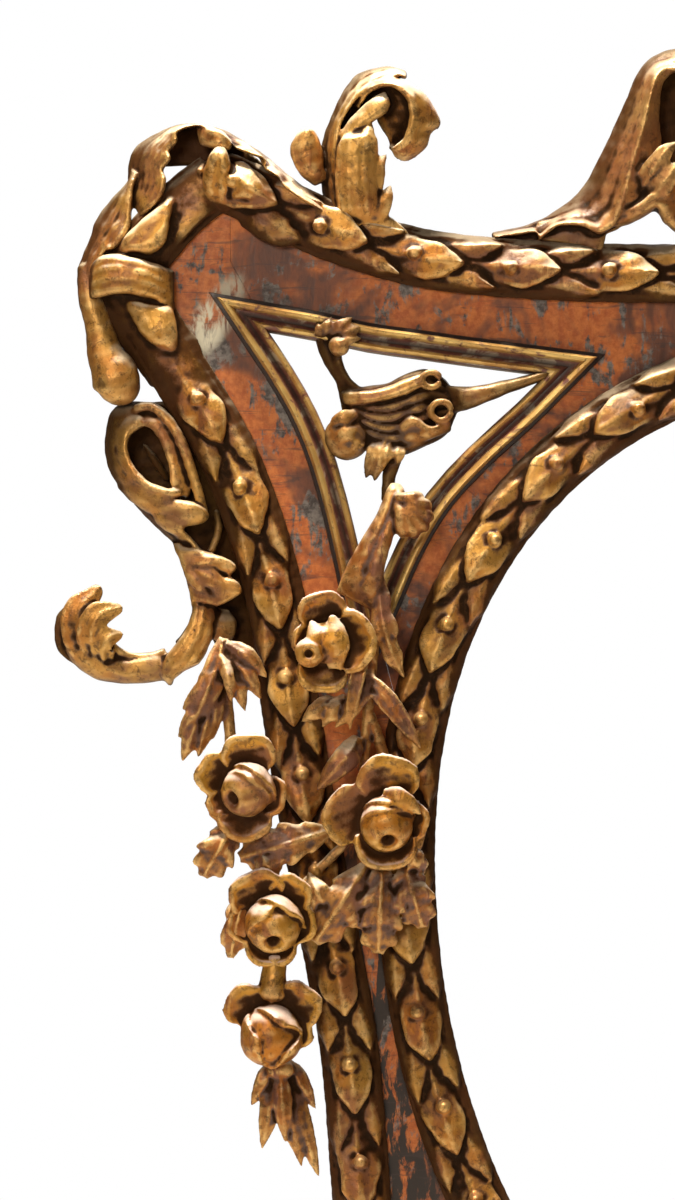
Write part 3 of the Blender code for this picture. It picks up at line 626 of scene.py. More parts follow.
def frieze_look():
    """Worn orange-red paint with slate and black rubbed patches, and bare old wood on the back."""
    look = Look("painted frieze")
    x, y, z = look.split()
    cloud = look.noise(9.0, 4.0, 0.6, None, 0.8)
    grain = look.noise(26.0, 6.0, 0.65, (3.2, 1.0, 1.0), 0.5)
    fine = look.noise(120.0, 4.0, 0.7)
    scratch = look.noise(42.0, 5.0, 0.7, (0.35, 1.0, 3.0), 0.9)
    orange = look.mix(look.span(fine, 0.3, 0.7), (0.44, 0.095, 0.018), (0.66, 0.20, 0.042))
    brown = look.mix(look.span(grain, 0.35, 0.65), (0.11, 0.040, 0.022), (0.23, 0.075, 0.035))
    painted = look.mix(look.span(cloud, 0.40, 0.52), brown, orange)
    # darker towards the bottom of the frame, in patches along the grain
    darker_low = look.times(look.span(z, -0.42, -0.62), look.span(grain, 0.55, 0.47))
    painted = look.mix(darker_low, painted, (0.035, 0.022, 0.016))
    slate = look.mix(look.span(fine, 0.35, 0.65), (0.06, 0.045, 0.04), (0.24, 0.205, 0.18))
    patch = look.noise(15.0, 5.0, 0.65, None, 0.8)
    dark = look.mix(look.span(look.plus(look.times(grain, 0.4), look.times(patch, 0.6)),
                              0.52, 0.57), painted, slate)
    scuffed = look.mix(look.times(look.span(scratch, 0.56, 0.66), 0.6), dark, (0.06, 0.035, 0.03))
    corner = corner_wear(look, x, z)
    pale = look.mix(look.times(corner, look.span(grain, 0.40, 0.56)), scuffed, (0.66, 0.60, 0.45))
    wood = look.mix(look.span(look.noise(30.0, 6.0, 0.7, (6.0, 1.0, 1.0)), 0.3, 0.7),
                    (0.13, 0.075, 0.04), (0.30, 0.19, 0.10))
    front = look.span(y, -BOARD_FRONT * MM + 0.002, -BOARD_FRONT * MM + 0.0006)
    colour = look.mix(front, wood, pale)
    rough = look.span(grain, 0.3, 0.7, 0.38, 0.62)
    normal = look.bump(grain, 0.0010, 0.5)
    normal = look.bump(fine, 0.0004, 0.5, normal)
    return look.finish(colour, rough, None, normal)


def corner_wear(look, x, z):
    """A mask round the worn corner of the frieze on both sides, a slanting ellipse."""
    middle_x, middle_z = 0.655, -0.022
    run, rise = 0.55, 0.83                  # the slant of its long axis
    per_length, per_width = 17.0, 42.0      # 1 / its half-length and 1 / its half-width
    dx = look.math("SUBTRACT", look.math("ABSOLUTE", x), middle_x)
    dz = look.plus(z, -middle_z)
    along = look.plus(look.times(dx, -run), look.times(dz, rise))
    across = look.plus(look.times(dx, rise), look.times(dz, run))
    far = look.plus(look.math("POWER", look.times(look.math("ABSOLUTE", along), per_length), 2.0),
                    look.math("POWER", look.times(look.math("ABSOLUTE", across), per_width), 2.0))
    return look.span(far, 1.0, 0.2)


# y, in metres, between which the section turns from the painted shade at its foot to paint, and from paint
# to gold
BEAD_SHADED_FOOT = (-0.0475, -0.0500)
BEAD_GILDED = (-0.0505, -0.0545)


def bead_look():
    """Gold bead and maroon cove of the spandrels, told apart by how far they stand out, with painted shade
    at their foot.
    """
    look = Look("maroon and gold bead")
    y = look.split()[1]
    fine = look.noise(130.0, 4.0, 0.7)
    streak = look.noise(40.0, 5.0, 0.65, None, 0.7)
    cloud = look.noise(14.0, 3.0)
    gold = look.mix(look.span(cloud, 0.35, 0.65), (0.74, 0.50, 0.17), (0.48, 0.25, 0.07))
    maroon = look.mix(look.span(fine, 0.35, 0.65), (0.10, 0.028, 0.02), (0.20, 0.07, 0.045))
    scuffed = look.mix(look.times(look.span(streak, 0.50, 0.62), 0.75), maroon, (0.48, 0.39, 0.27))
    gilded = look.times(look.span(y, *BEAD_GILDED), look.span(streak, 0.34, 0.46))
    colour = look.mix(gilded, scuffed, gold)
    # painted shade: near black at the foot of the bead, in the step down from the frieze
    colour = look.mix(look.span(y, *BEAD_SHADED_FOOT), (0.03, 0.015, 0.01), colour)
    colour = look.mix(look.times(look.span(fine, 0.58, 0.7), 0.6), colour, (0.05, 0.028, 0.015))
    metallic = look.times(gilded, 0.6)
    normal = look.bump(streak, 0.0008, 0.5)
    normal = look.bump(fine, 0.0004, 0.5, normal)
    return look.finish(colour, look.span(fine, 0.3, 0.7, 0.34, 0.58), metallic, normal)


def bare_wood_look():
    """Old wood that was never painted, for the battens and buttons."""
    look = Look("bare old wood")
    grain = look.noise(22.0, 6.0, 0.7, (0.5, 4.0, 7.0), 0.7)
    stain = look.noise(7.0, 4.0)
    fine = look.noise(180.0, 3.0, 0.6)
    wood = look.mix(look.span(grain, 0.32, 0.68), (0.14, 0.08, 0.04), (0.36, 0.23, 0.12))
    colour = look.mix(look.times(look.span(stain, 0.45, 0.65), 0.6), wood, (0.10, 0.065, 0.04))
    normal = look.bump(look.plus(look.times(grain, 0.7), look.times(fine, 0.3)), 0.0008, 0.6)
    return look.finish(colour, look.span(grain, 0.3, 0.7, 0.9, 0.7), None, normal)


def iron_look():
    """Blackened iron with some rust."""
    look = Look("blackened iron")
    rust = look.noise(90.0, 5.0, 0.7)
    pits = look.noise(420.0, 3.0, 0.6)
    colour = look.mix(look.span(rust, 0.50, 0.68), (0.045, 0.042, 0.040), (0.17, 0.075, 0.035))
    normal = look.bump(pits, 0.0003, 0.6)
    rough = look.span(rust, 0.3, 0.7, 0.45, 0.8)
    metallic = look.span(rust, 0.45, 0.65, 0.85, 0.2)
    return look.finish(colour, rough, metallic, normal)


# --- the frame's lines, as in the CAD ---

# (x, height) points, from the corner band down the side, along the top and round the foot
OUTER_CORNER = [(-650, 722), (-690, 690), (-745, 625)]
OUTER_SIDE = [(-745, 625), (-725, 590), (-690, 530), (-645, 455), (-612, 372), (-590, 288),
              (-577, 190), (-558, 70), (-538, -40), (-520, -140), (-510, -250), (-506, -340),
              (-520, -430), (-556, -515), (-592, -590)]
OUTER_TOP = [(0, 626), (-250, 628), (-345, 632), (-445, 643), (-537, 670), (-610, 705), (-650, 722)]
OUTER_FOOT = [(-592, -590), (-600, -640), (-560, -682)]
OUTER_BOTTOM = [(-560, -682), (-480, -690), (-400, -674), (-300, -668), (-200, -680), (0, -694)]
UPPER_OPENING = [
    [(-600, 570), (-555, 562), (-500, 550), (-450, 543), (-400, 536), (-322, 526)],
    [(-322, 526), (-350, 498), (-400, 452), (-440, 408), (-470, 358), (-497, 296)],
    [(-497, 296), (-512, 366), (-531, 438), (-551, 489), (-575, 532), (-600, 570)]]
LOWER_OPENING = [
    [(-417, -388), (-374, -453), (-315, -521), (-250, -578)],
    [(-250, -578), (-350, -593), (-420, -597), (-485, -592)],
    [(-485, -592), (-476, -560), (-455, -510), (-432, -450), (-417, -388)]]
SIGHT_HALF_WIDTH = 433.0
SIGHT_SPRING = 40.0                     # height of the widest place of the oval
SIGHT_RISE = 478.0                      # from there to its top
SIGHT_DROP = 608.0                      # and to its foot
SIGHT_POWER = 2.2                       # above 2, the top half is fuller than an ellipse
SIGHT_TIP = (-278, 469)                 # where one leaf of the sight moulding ends
PITCH = 98.0                            # from one leaf tip to the next
LEAF_BODY = 30.0                        # from a tip back to the place that the leaf is counted at
ROLL_HEIGHT = 17.0                      # of the ground under the leaves


def flat(points, step=3.0):
    """A smooth line at depth 0 through (x, height) points."""
    return spline([(x, h, 0.0) for x, h in points], step)


def joined(*lines):
    """One line out of lines that each start where the one before ends."""
    return np.vstack([lines[0]] + [line[1:] for line in lines[1:]])


def offset_line(line, distance, closed=False):
    """A flat line moved to its own left."""
    if closed:
        before, after = np.roll(line, 1, axis=0), np.roll(line, -1, axis=0)
    else:
        before, after = np.vstack([line[:1], line[:-1]]), np.vstack([line[1:], line[-1:]])
    one, two = unit(line - before), unit(after - line)
    if not closed:
        one[0], two[-1] = two[0], one[-1]
    normals = [np.stack([-d[:, 1], d[:, 0], 0 * d[:, 0]], -1) for d in (one, two)]
    middle = unit(normals[0] + normals[1])
    reach = np.clip(1 / np.maximum(np.sum(middle * normals[0], axis=1), 0.3), 1, 3.3)
    return line + middle * (distance * reach)[:, None]


def sight_half():
    """The left half of the sight edge, from its top to its foot."""
    angle = np.radians(np.linspace(90, 270, 400))
    x, y = np.cos(angle), np.sin(angle)
    power = np.where(y > 0, SIGHT_POWER, 2.0)
    rise = np.where(y > 0, SIGHT_RISE, SIGHT_DROP)
    line = np.stack([-SIGHT_HALF_WIDTH * np.abs(x) ** (2 / power),
                     SIGHT_SPRING + rise * np.sign(y) * np.abs(y) ** (2 / power), 0 * x], -1)
    line[0, 0] = line[-1, 0] = 0.0
    places = np.linspace(0, arc_of(line)[-1], 480)
    return np.stack([np.interp(places, arc_of(line), line[:, k]) for k in range(3)], -1)


class Rail:
    """A moulding's centre line; at() turns (along, across, out of the face) into a place."""

    def __init__(self, line):
        self.line, self.arc, self.along = line, arc_of(line), tangents_of(line)
        self.normal = np.stack([-self.along[:, 1], self.along[:, 0], 0 * self.along[:, 0]], -1)

    def at(self, s, v, lift):
        s, v, lift = np.broadcast_arrays(s, v, lift)
        over = s - np.clip(s, 0, self.arc[-1])
        inside = s - over
        place, normal, along = (np.stack([np.interp(inside, self.arc, array[:, k]) for k in range(3)], -1)
                                for array in (self.line, self.normal, self.along))
        out = place + normal * v[..., None] + along * over[..., None]
        out[..., 2] = MOULDING_BACK + lift
        return out

    def nearest(self, place):
        return self.arc[np.argmin(np.hypot(self.line[:, 0] - place[0], self.line[:, 1] - place[1]))]


def base_roll(shells, rail):
    """The rounded ground of a leaf moulding, with a small fillet along each edge."""
    right = np.array([0, 0.35, 0.65, 0.85, 0.95, 0.98, 1.06, 1.06])
    across = np.r_[-right[:0:-1], right]
    lift = ROLL_HEIGHT * np.sqrt(np.clip(1 - across ** 2, 0, 1)) ** 0.8
    lift[[1, 2, -3, -2]] = 6.5
    lift[[3, -4]] = 4.0
    lift[[0, -1]] = 0.0
    places = np.r_[np.arange(0, rail.arc[-1], 4.0), rail.arc[-1]]
    shells.grid(rail.at(places[:, None], (across * MOULDING_HALF)[None], lift[None]), True)


def rail_leaf(shells, rail, tip, length, half, low, high, centre=0.0, drift=0.0, drop=8.0, ridge=1.6,
              shape=SHIELD, thick=8.0, lean=0.0, seed=0.0):
    """A pointed leaf that lies along a moulding, its outline cut unevenly.

    It rises from low to high at its tip, and its middle starts at centre and moves by drift.
    drop lowers its edges, ridge raises its midrib and lean tilts it.
    """
    t = np.linspace(0, 1, 26)[:, None]
    s = np.linspace(-1, 1, 15)[None]
    a = np.abs(s)
    uneven = 0.07 * np.sin(8 * t + seed + 2 * np.sign(s)) + 0.05 * np.sin(15 * t + 3 * seed - np.sign(s))
    width = half * steps(t, shape) * (1 + uneven)
    middle = centre + drift * t
    lift = (low + (high - low) * ramp(t, 0.0, 0.85) - drop * a ** 1.3 + ridge * np.exp(-(s / 0.10) ** 2)
            + lean * s)
    along = tip - length * (1 - t) + 0.10 * width * a
    top = rail.at(along, middle + s * width, lift)
    bottom = rail.at(along, middle + s * width * 0.96, np.maximum(lift - thick, 0.5))
    shells.sheet(top, bottom)


def rail_berry(shells, rail, s, v, lift, radius):
    """A berry with a seed hole, on a low collar."""
    x, height, depth = rail.at(s, v, lift)
    ball(shells, (x, height, depth), radius, 0.35, width=0.45)
    ball(shells, (x, height, depth - 0.7 * radius), (1.35 * radius, 1.35 * radius, 0.5 * radius))


def leaf_unit(shells, rail, tip, turn):
    """One repeat: a shield leaf with a berry on its base, between two leaves that reach further."""
    sway = 1.5 * math.sin(2.3 * turn)
    for side in (-1, 1):
        far = tip + 37 + 3 * math.sin(3.1 * turn + side)
        rail_leaf(shells, rail, far, 104, 12.5, 11, 20, side * 9, side * 13, drop=4.5, ridge=1.0,
                  shape=SPEAR, lean=side * -3.5, seed=turn + side)
        rail_leaf(shells, rail, far - 40, 60, 6, 8, 13, side * 22, side * 3, drop=2.5, ridge=1.2,
                  shape=SPEAR, thick=6, lean=side * -2, seed=2 * turn)
    rail_leaf(shells, rail, tip, 88, 20.5 + 0.8 * math.sin(1.7 * turn), 17, 30, sway, -0.5 * sway, drop=6.0,
              ridge=0.9, lean=2.5 * math.sin(1.3 * turn), seed=1.9 * turn)
    rail_berry(shells, rail, tip - 50, 1.5 * (-1) ** turn, 29.0, 5.8)


def leaf_run(shells, rail, first):
    """Leaves along a moulding, from the one whose tip is at first to the far end."""
    count = int((rail.arc[-1] - first) / PITCH + 0.5) + 1
    for k in range(count):
        leaf_unit(shells, rail, first + k * PITCH, k)


# --- mouldings ---

def build_outer_mouldings(look):
    """The leaf mouldings round the outer edge."""
    side = Rail(flat(OUTER_SIDE))
    shells = Shells()
    chamfer = Rail(flat(OUTER_CORNER)[::-1])
    base_roll(shells, side)
    base_roll(shells, chamfer)
    leaf_run(shells, side, 97.0 + PITCH)
    # the leaves on either side of the corner band
    panel(shells, [
        (-750, 606, 52, -700, 598, 60), (-742, 592, 58, -694, 586, 64), (-733, 576, 62, -691, 572, 66),
        (-723, 562, 62, -691, 558, 64), (-708, 551, 60, -694, 548, 60)], 8, 12, 2, 1.2)
    panel(shells, [
        (-784, 602, 40, -748, 602, 54), (-770, 582, 42, -736, 576, 56), (-752, 560, 42, -720, 556, 54),
        (-734, 536, 42, -704, 536, 50), (-718, 514, 42, -692, 514, 48)], 3, 10)
    rail_leaf(shells, side, 128, 92, 12, 9, 13, centre=20, drop=5, thick=8, lean=-2)
    panel(shells, [
        (-753, 648, 52, -750, 643, 54), (-744, 664, 58, -735, 648, 64), (-729, 678, 62, -718, 646, 68),
        (-714, 691, 62, -703, 657, 68), (-704, 699, 60, -698, 678, 66), (-697, 705, 56, -695, 701, 58)
    ], 7, 12, 2, 1.8, 33)
    panel(shells, [
        (-706, 690, 48, -694, 652, 56), (-692, 706, 50, -682, 664, 60), (-678, 724, 50, -666, 680, 60),
        (-662, 742, 48, -650, 694, 56)], 5, 10, 1, 1.4)
    # the band that they spring from, finely reeded
    panel(shells, [
        (-783, 598, 46, -782, 632, 44), (-774, 601, 60, -770, 644, 56), (-756, 605, 68, -752, 646, 64),
        (-734, 605, 70, -734, 642, 67), (-712, 599, 66, -714, 637, 64), (-694, 589, 56, -694, 630, 54)
    ], 8, 16, 4, 1.8, 41)
    mesh = carved("outer_leaf_left", shells)
    place("outer_leaf_left", mesh, look)
    place("outer_leaf_right", mirrored_mesh(mesh, "outer_leaf_right"), look)

    half = Shells()
    top = Rail(flat(OUTER_TOP)[::-1])
    base_roll(half, top)
    leaf_run(half, top, 65.0)
    panel(half, [
        (-663, 694, 50, -640, 690, 54), (-666, 712, 60, -638, 706, 64), (-664, 730, 68, -637, 722, 70),
        (-658, 745, 72, -638, 738, 74), (-651, 754, 68, -643, 753, 68)], 8, 18, 2, 2.6)
    leaf(half, [(-648, 724, 58), (-634, 722, 72), (-617, 711, 78), (-595, 697, 70)], 19,
         [(0, 0.45), (0.3, 1.0), (0.6, 0.85), (0.85, 0.4), (1, 0.04)], cup=-0.55, ridge=2.5, thick=14,
         columns=29)
    panel(half, [
        (-636, 700, 48, -628, 676, 50), (-614, 690, 56, -606, 660, 54), (-590, 682, 60, -584, 654, 56),
        (-570, 668, 60, -566, 660, 56)], 5, 10, 1, 1.2)
    finish_across("outer_leaf_top", half, look)

    half = Shells()
    foot = Rail(joined(flat(OUTER_FOOT), flat(OUTER_BOTTOM)))
    base_roll(half, foot)
    leaf_run(half, foot, 70.0)
    finish_across("outer_leaf_bottom", half, look)


def build_sight_moulding(look):
    """Two half rings that butt at the spring line."""
    line = sight_half()
    out = MOULDING_HALF + 1
    rail = Rail(offset_line(line, -out))
    middle = rail.nearest((-SIGHT_HALF_WIDTH - out, SIGHT_SPRING))
    first = rail.nearest(SIGHT_TIP) % PITCH
    for name, low, high in (("sight_leaf_upper", 0.0, middle), ("sight_leaf_lower", middle, rail.arc[-1])):
        shells = Shells()
        part = Rail(rail.at(np.arange(low, high + 0.5, 3.0), 0.0, 0.0))
        base_roll(shells, part)
        for k, tip in enumerate(np.arange(first, rail.arc[-1] + PITCH, PITCH)):
            if low < tip - LEAF_BODY <= high:
                leaf_unit(shells, rail, tip, k)
        finish_across(name, shells, look)


def build_beads(look):
    """Gold bead and maroon cove round each pierced opening."""
    # the moulding's section: distance from the opening's edge, and height above the boards
    profile = [(0.4, 0.0), (0.4, 7.0), (2.0, 10.5), (4.5, 11.5), (7.0, 9.5), (8.2, 6.5), (11.0, 4.6),
               (14.5, 5.6), (16.6, 9.6), (17.6, 12.6), (19.4, 15.0), (21.6, 15.2), (23.4, 13.0), (24.2, 9.0),
               (24.6, 4.5), (27.6, 3.2), (28.4, 0.0)]
    for level, strokes in (("upper", UPPER_OPENING), ("lower", LOWER_OPENING)):
        line = joined(*[flat(points, 4.0) for points in strokes])[:-1]
        turn = np.sum(line[:, 0] * np.roll(line[:, 1], -1) - np.roll(line[:, 0], -1) * line[:, 1])
        rings = []
        for out, lift in profile:
            ring = offset_line(line, -out if turn > 0 else out, closed=True)
            ring[:, 2] = MOULDING_BACK + lift
            rings.append(ring)
        rows = np.stack(rings, 1)
        n, m = rows.shape[:2]
        i, j = np.arange(n)[:, None], np.arange(m)[None]
        quads = np.stack([i * m + j, ((i + 1) % n) * m + j, ((i + 1) % n) * m + (j + 1) % m,
                          i * m + (j + 1) % m], -1).reshape(-1, 4)
        name = f"left_{level}_spandrel_bead"
        mesh = mesh_from(name, rows.reshape(-1, 3), quads if turn > 0 else quads[:, ::-1])
        mesh.shade_smooth()
        mesh.set_sharp_from_angle(angle=math.radians(50))
        place(name, mesh, look, "bead")
        name = f"right_{level}_spandrel_bead"
        place(name, mirrored_mesh(mesh, name), look, "bead")


# --- ornaments ---

def build_corner_acanthus(look):
    """Husk stem up the outer corner, and the acanthus leaf that arches over the corner."""
    shells = Shells()
    tube(shells, [
        (-784, 640, 36, 9), (-779, 604, 44, 12), (-770, 574, 46, 14), (-764, 548, 46, 18),
        (-754, 526, 46, 24), (-752, 510, 46, 23), (-755, 496, 44, 16)], sides=32)
    # the stem leaf along the outer edge, with two tips on its inner side
    panel(shells, [
        (-780, 590, 32, -770, 600, 46), (-789, 610, 30, -776, 618, 52), (-792, 631, 30, -768, 640, 56),
        (-787, 649, 30, -762, 650, 56), (-780, 665, 32, -757, 650, 60), (-775, 680, 34, -751, 654, 58),
        (-769, 690, 34, -744, 662, 60), (-763, 698, 36, -738, 674, 56), (-752, 710, 38, -737, 694, 54),
        (-742, 720, 40, -735, 714, 48), (-738, 734, 40, -730, 728, 46)], 7, 13, 4, 2.2, 45)
    # the left part of the arch, one broad leaf that sweeps up and over, its tips over the hollow
    panel(shells, [
        (-737, 702, 34, -729, 684, 52), (-740, 712, 32, -717, 691, 62), (-742, 722, 30, -706, 704, 66),
        (-742, 732, 28, -702, 720, 66), (-741, 742, 28, -705, 731, 62), (-738, 751, 28, -697, 741, 67),
        (-732, 759, 28, -699, 749, 63), (-722, 766, 28, -691, 758, 67), (-708, 773, 28, -691, 767, 66),
        (-692, 779, 28, -682, 772, 66), (-672, 780, 28, -668, 774, 66), (-655, 777, 30, -654, 772, 64)
    ], 6, 12, 7, 2.4, 65, 0.2)
    # sheet behind the hollow under the arch
    blade(shells, [(-724, 752, 24), (-690, 776, 24), (-650, 770, 24), (-600, 737, 26)],
          [(-716, 736, 28), (-690, 738, 28), (-655, 736, 28), (-604, 720, 28)], 2, 8)
    # the curled lobe in the middle of the arch
    ball(shells, (-655, 762, 56), (15, 10, 13))
    panel(shells, [
        (-672, 770, 56, -668, 756, 58), (-660, 772, 66, -656, 752, 66), (-648, 768, 70, -646, 750, 68),
        (-637, 760, 66, -638, 750, 64)], 4, 12, 2, 1.6)
    # right hand leaf, a smooth slope with fine lines, and tips on its lower edge
    panel(shells, [
        (-668, 780, 30, -660, 770, 60), (-655, 777, 32, -640, 760, 70), (-642, 772, 34, -630, 750, 72),
        (-628, 764, 36, -601, 739, 78), (-614, 755, 38, -604, 731, 70), (-598, 743, 40, -590, 722, 78),
        (-584, 731, 42, -584, 713, 70), (-568, 718, 44, -566, 699, 74), (-552, 704, 46, -548, 690, 68),
        (-538, 692, 48, -537, 682, 60)], 3, 14, 6, 1.8, 57, 0.6)
    place_pair("corner_acanthus", shells, look)


def build_eye_scroll(look):
    """The long scroll down the side, with its pierced eye and its leafy hook."""
    shells = Shells()
    # the left of the ring round the eye, turned over into the first tongue
    panel(shells, [
        (-716, 499, 36, -724, 475, 52), (-740, 500, 34, -731, 471, 54), (-758, 491, 30, -738, 465, 56),
        (-765, 466, 28, -741, 456, 58), (-763, 438, 30, -739, 444, 59), (-752, 417, 38, -732, 431, 61),
        (-738, 407, 47, -720, 419, 63), (-720, 398, 54, -706, 413, 65), (-702, 395, 57, -694, 411, 64),
        (-688, 402, 55, -686, 409, 60)], 6, 16, 2, 2.0, 41)
    # its right side, up to the crest
    panel(shells, [
        (-727, 475, 52, -720, 499, 42), (-717, 471, 55, -702, 488, 46), (-709, 460, 57, -692, 469, 48),
        (-703, 446, 58, -685, 448, 48), (-699, 431, 59, -678, 430, 48), (-698, 418, 61, -676, 414, 48),
        (-694, 409, 62, -680, 402, 50)], 5, 14, 1, 1.6, 33)
    tube(shells, [
        (-736, 492, 46, 4), (-718, 494, 50, 5), (-701, 481, 53, 5.5), (-686, 457, 55, 5.5),
        (-677, 430, 55, 5.5), (-668, 402, 54, 5), (-661, 380, 50, 3)])
    # the stem, its second tongue and the pointed third
    panel(shells, [
        (-758, 434, 28, -745, 424, 46), (-750, 413, 28, -735, 408, 50), (-736, 397, 30, -719, 397, 54),
        (-720, 380, 32, -704, 387, 57), (-701, 362, 34, -689, 374, 58), (-687, 348, 34, -673, 358, 58),
        (-678, 331, 34, -660, 338, 56), (-674, 311, 34, -654, 316, 52), (-675, 290, 34, -652, 292, 50),
        (-683, 272, 36, -658, 270, 48), (-695, 257, 38, -668, 248, 46)], 8, 16, 3, 2.0, 41)
    panel(shells, [
        (-750, 430, 42, -752, 414, 36), (-734, 414, 54, -738, 399, 46), (-714, 404, 60, -718, 386, 52),
        (-694, 401, 64, -700, 378, 58), (-676, 398, 66, -684, 374, 61), (-664, 392, 64, -669, 376, 60),
        (-659, 386, 60, -661, 380, 57)], 5, 14, 1, 1.4, 33)
    panel(shells, [
        (-720, 392, 54, -712, 376, 50), (-702, 386, 60, -698, 367, 54), (-689, 381, 61, -687, 364, 54),
        (-685, 375, 58, -684, 371, 56)], 5, 12)
    # eye floor with its thin leaf, and the rib in the hollow below
    blade(shells, [(-746, 476, 18), (-752, 445, 18), (-736, 408, 18), (-700, 396, 18)],
          [(-706, 484, 18), (-690, 455, 18), (-682, 425, 18), (-680, 400, 18)], 1, 6)
    tube(shells, [(-727, 458, 24, 2), (-718, 446, 30, 4), (-708, 430, 30, 4), (-701, 420, 26, 3)])
    tube(shells, [(-653, 392, 40, 3), (-650, 372, 44, 4), (-656, 352, 46, 4), (-664, 342, 44, 3)])
    # dark rim behind it all, against the moulding
    panel(shells, [
        (-684, 502, 24, -730, 498, 36), (-670, 478, 24, -706, 488, 38), (-654, 446, 24, -690, 456, 40),
        (-640, 414, 24, -680, 424, 40), (-630, 386, 24, -686, 392, 38), (-620, 356, 24, -684, 366, 34),
        (-614, 326, 24, -676, 334, 34), (-607, 296, 24, -668, 300, 34), (-600, 268, 24, -662, 272, 34),
        (-602, 246, 26, -652, 252, 34)], 3, 12)
    # leaf that leaves the stem towards the moulding
    panel(shells, [
        (-696, 357, 48, -684, 357, 52), (-693, 349, 54, -660, 348, 60), (-690, 343, 57, -638, 340, 64),
        (-688, 338, 58, -631, 332, 64), (-686, 332, 58, -638, 324, 60), (-684, 326, 58, -629, 317, 65),
        (-682, 320, 58, -626, 307, 66), (-680, 312, 56, -638, 300, 61), (-678, 304, 55, -650, 294, 61),
        (-677, 294, 50, -664, 298, 54)], 4, 12, 0, 0, 41, 0.5)
    for tip, half in (((-640, 337, 63), 8), ((-634, 310, 65), 10), ((-655, 298, 60), 7)):
        arched(shells, (-684, 336, 58), tip, half, (0, 0, 6), cup=-0.15, ridge=1.2, thick=8)
    panel(shells, [
        (-664, 292, 40, -640, 290, 40), (-660, 276, 50, -632, 278, 46), (-655, 262, 50, -634, 264, 46),
        (-647, 253, 44, -642, 254, 42)], 6, 12)
    # drop leaf that covers the start of the hook
    panel(shells, [
        (-674, 306, 54, -654, 300, 50), (-677, 286, 56, -653, 280, 54), (-684, 268, 58, -656, 262, 57),
        (-694, 254, 58, -662, 248, 58), (-703, 243, 56, -669, 236, 60), (-708, 232, 52, -684, 229, 54),
        (-707, 223, 50, -694, 221, 52), (-700, 214, 46, -697, 214, 46)], 7, 14, 3, 2.0, 37, 0.6)
    # the hook, a trough with a leaf on its end
    tube(shells, [
        (-700, 236, 42, 14), (-720, 232, 42, 15), (-745, 231, 42, 15), (-766, 236, 42, 17),
        (-784, 250, 42, 18), (-790, 266, 42, 17), (-784, 284, 42, 15)], sides=24)
    panel(shells, [
        (-698, 220, 46, -698, 234, 56), (-720, 217, 46, -722, 229, 56), (-745, 216, 46, -746, 229, 58),
        (-768, 220, 46, -764, 236, 60), (-788, 231, 46, -774, 250, 62), (-797, 247, 46, -776, 266, 60)
    ], 3, 10, 2, 1.4)
    blade(shells, [(-704, 252, 48), (-722, 247, 50), (-740, 248, 52), (-752, 256, 56), (-760, 266, 58)],
          [(-702, 241, 50), (-722, 237, 48), (-744, 240, 50), (-758, 248, 54), (-766, 262, 58)], 3, 8)
    for spine, half in (
            ([(-774, 240, 54), (-788, 260, 62), (-789, 286, 64), (-767, 315, 56)], 17),
            ([(-768, 242, 58), (-776, 264, 70), (-768, 284, 72), (-744, 293, 62)], 15),
            ([(-764, 238, 58), (-764, 252, 70), (-758, 262, 72), (-744, 266, 62)], 12),
            ([(-784, 240, 42), (-799, 254, 46), (-802, 274, 46), (-793, 303, 44)], 13)):
        leaf(shells, spine, half, [(0, 0.7), (0.4, 1.0), (0.75, 0.95), (1, 0.3)], cup=-0.2, ridge=1.5,
             vein_count=2, thick=13, columns=25)
    place_pair("eye_scroll", shells, look)


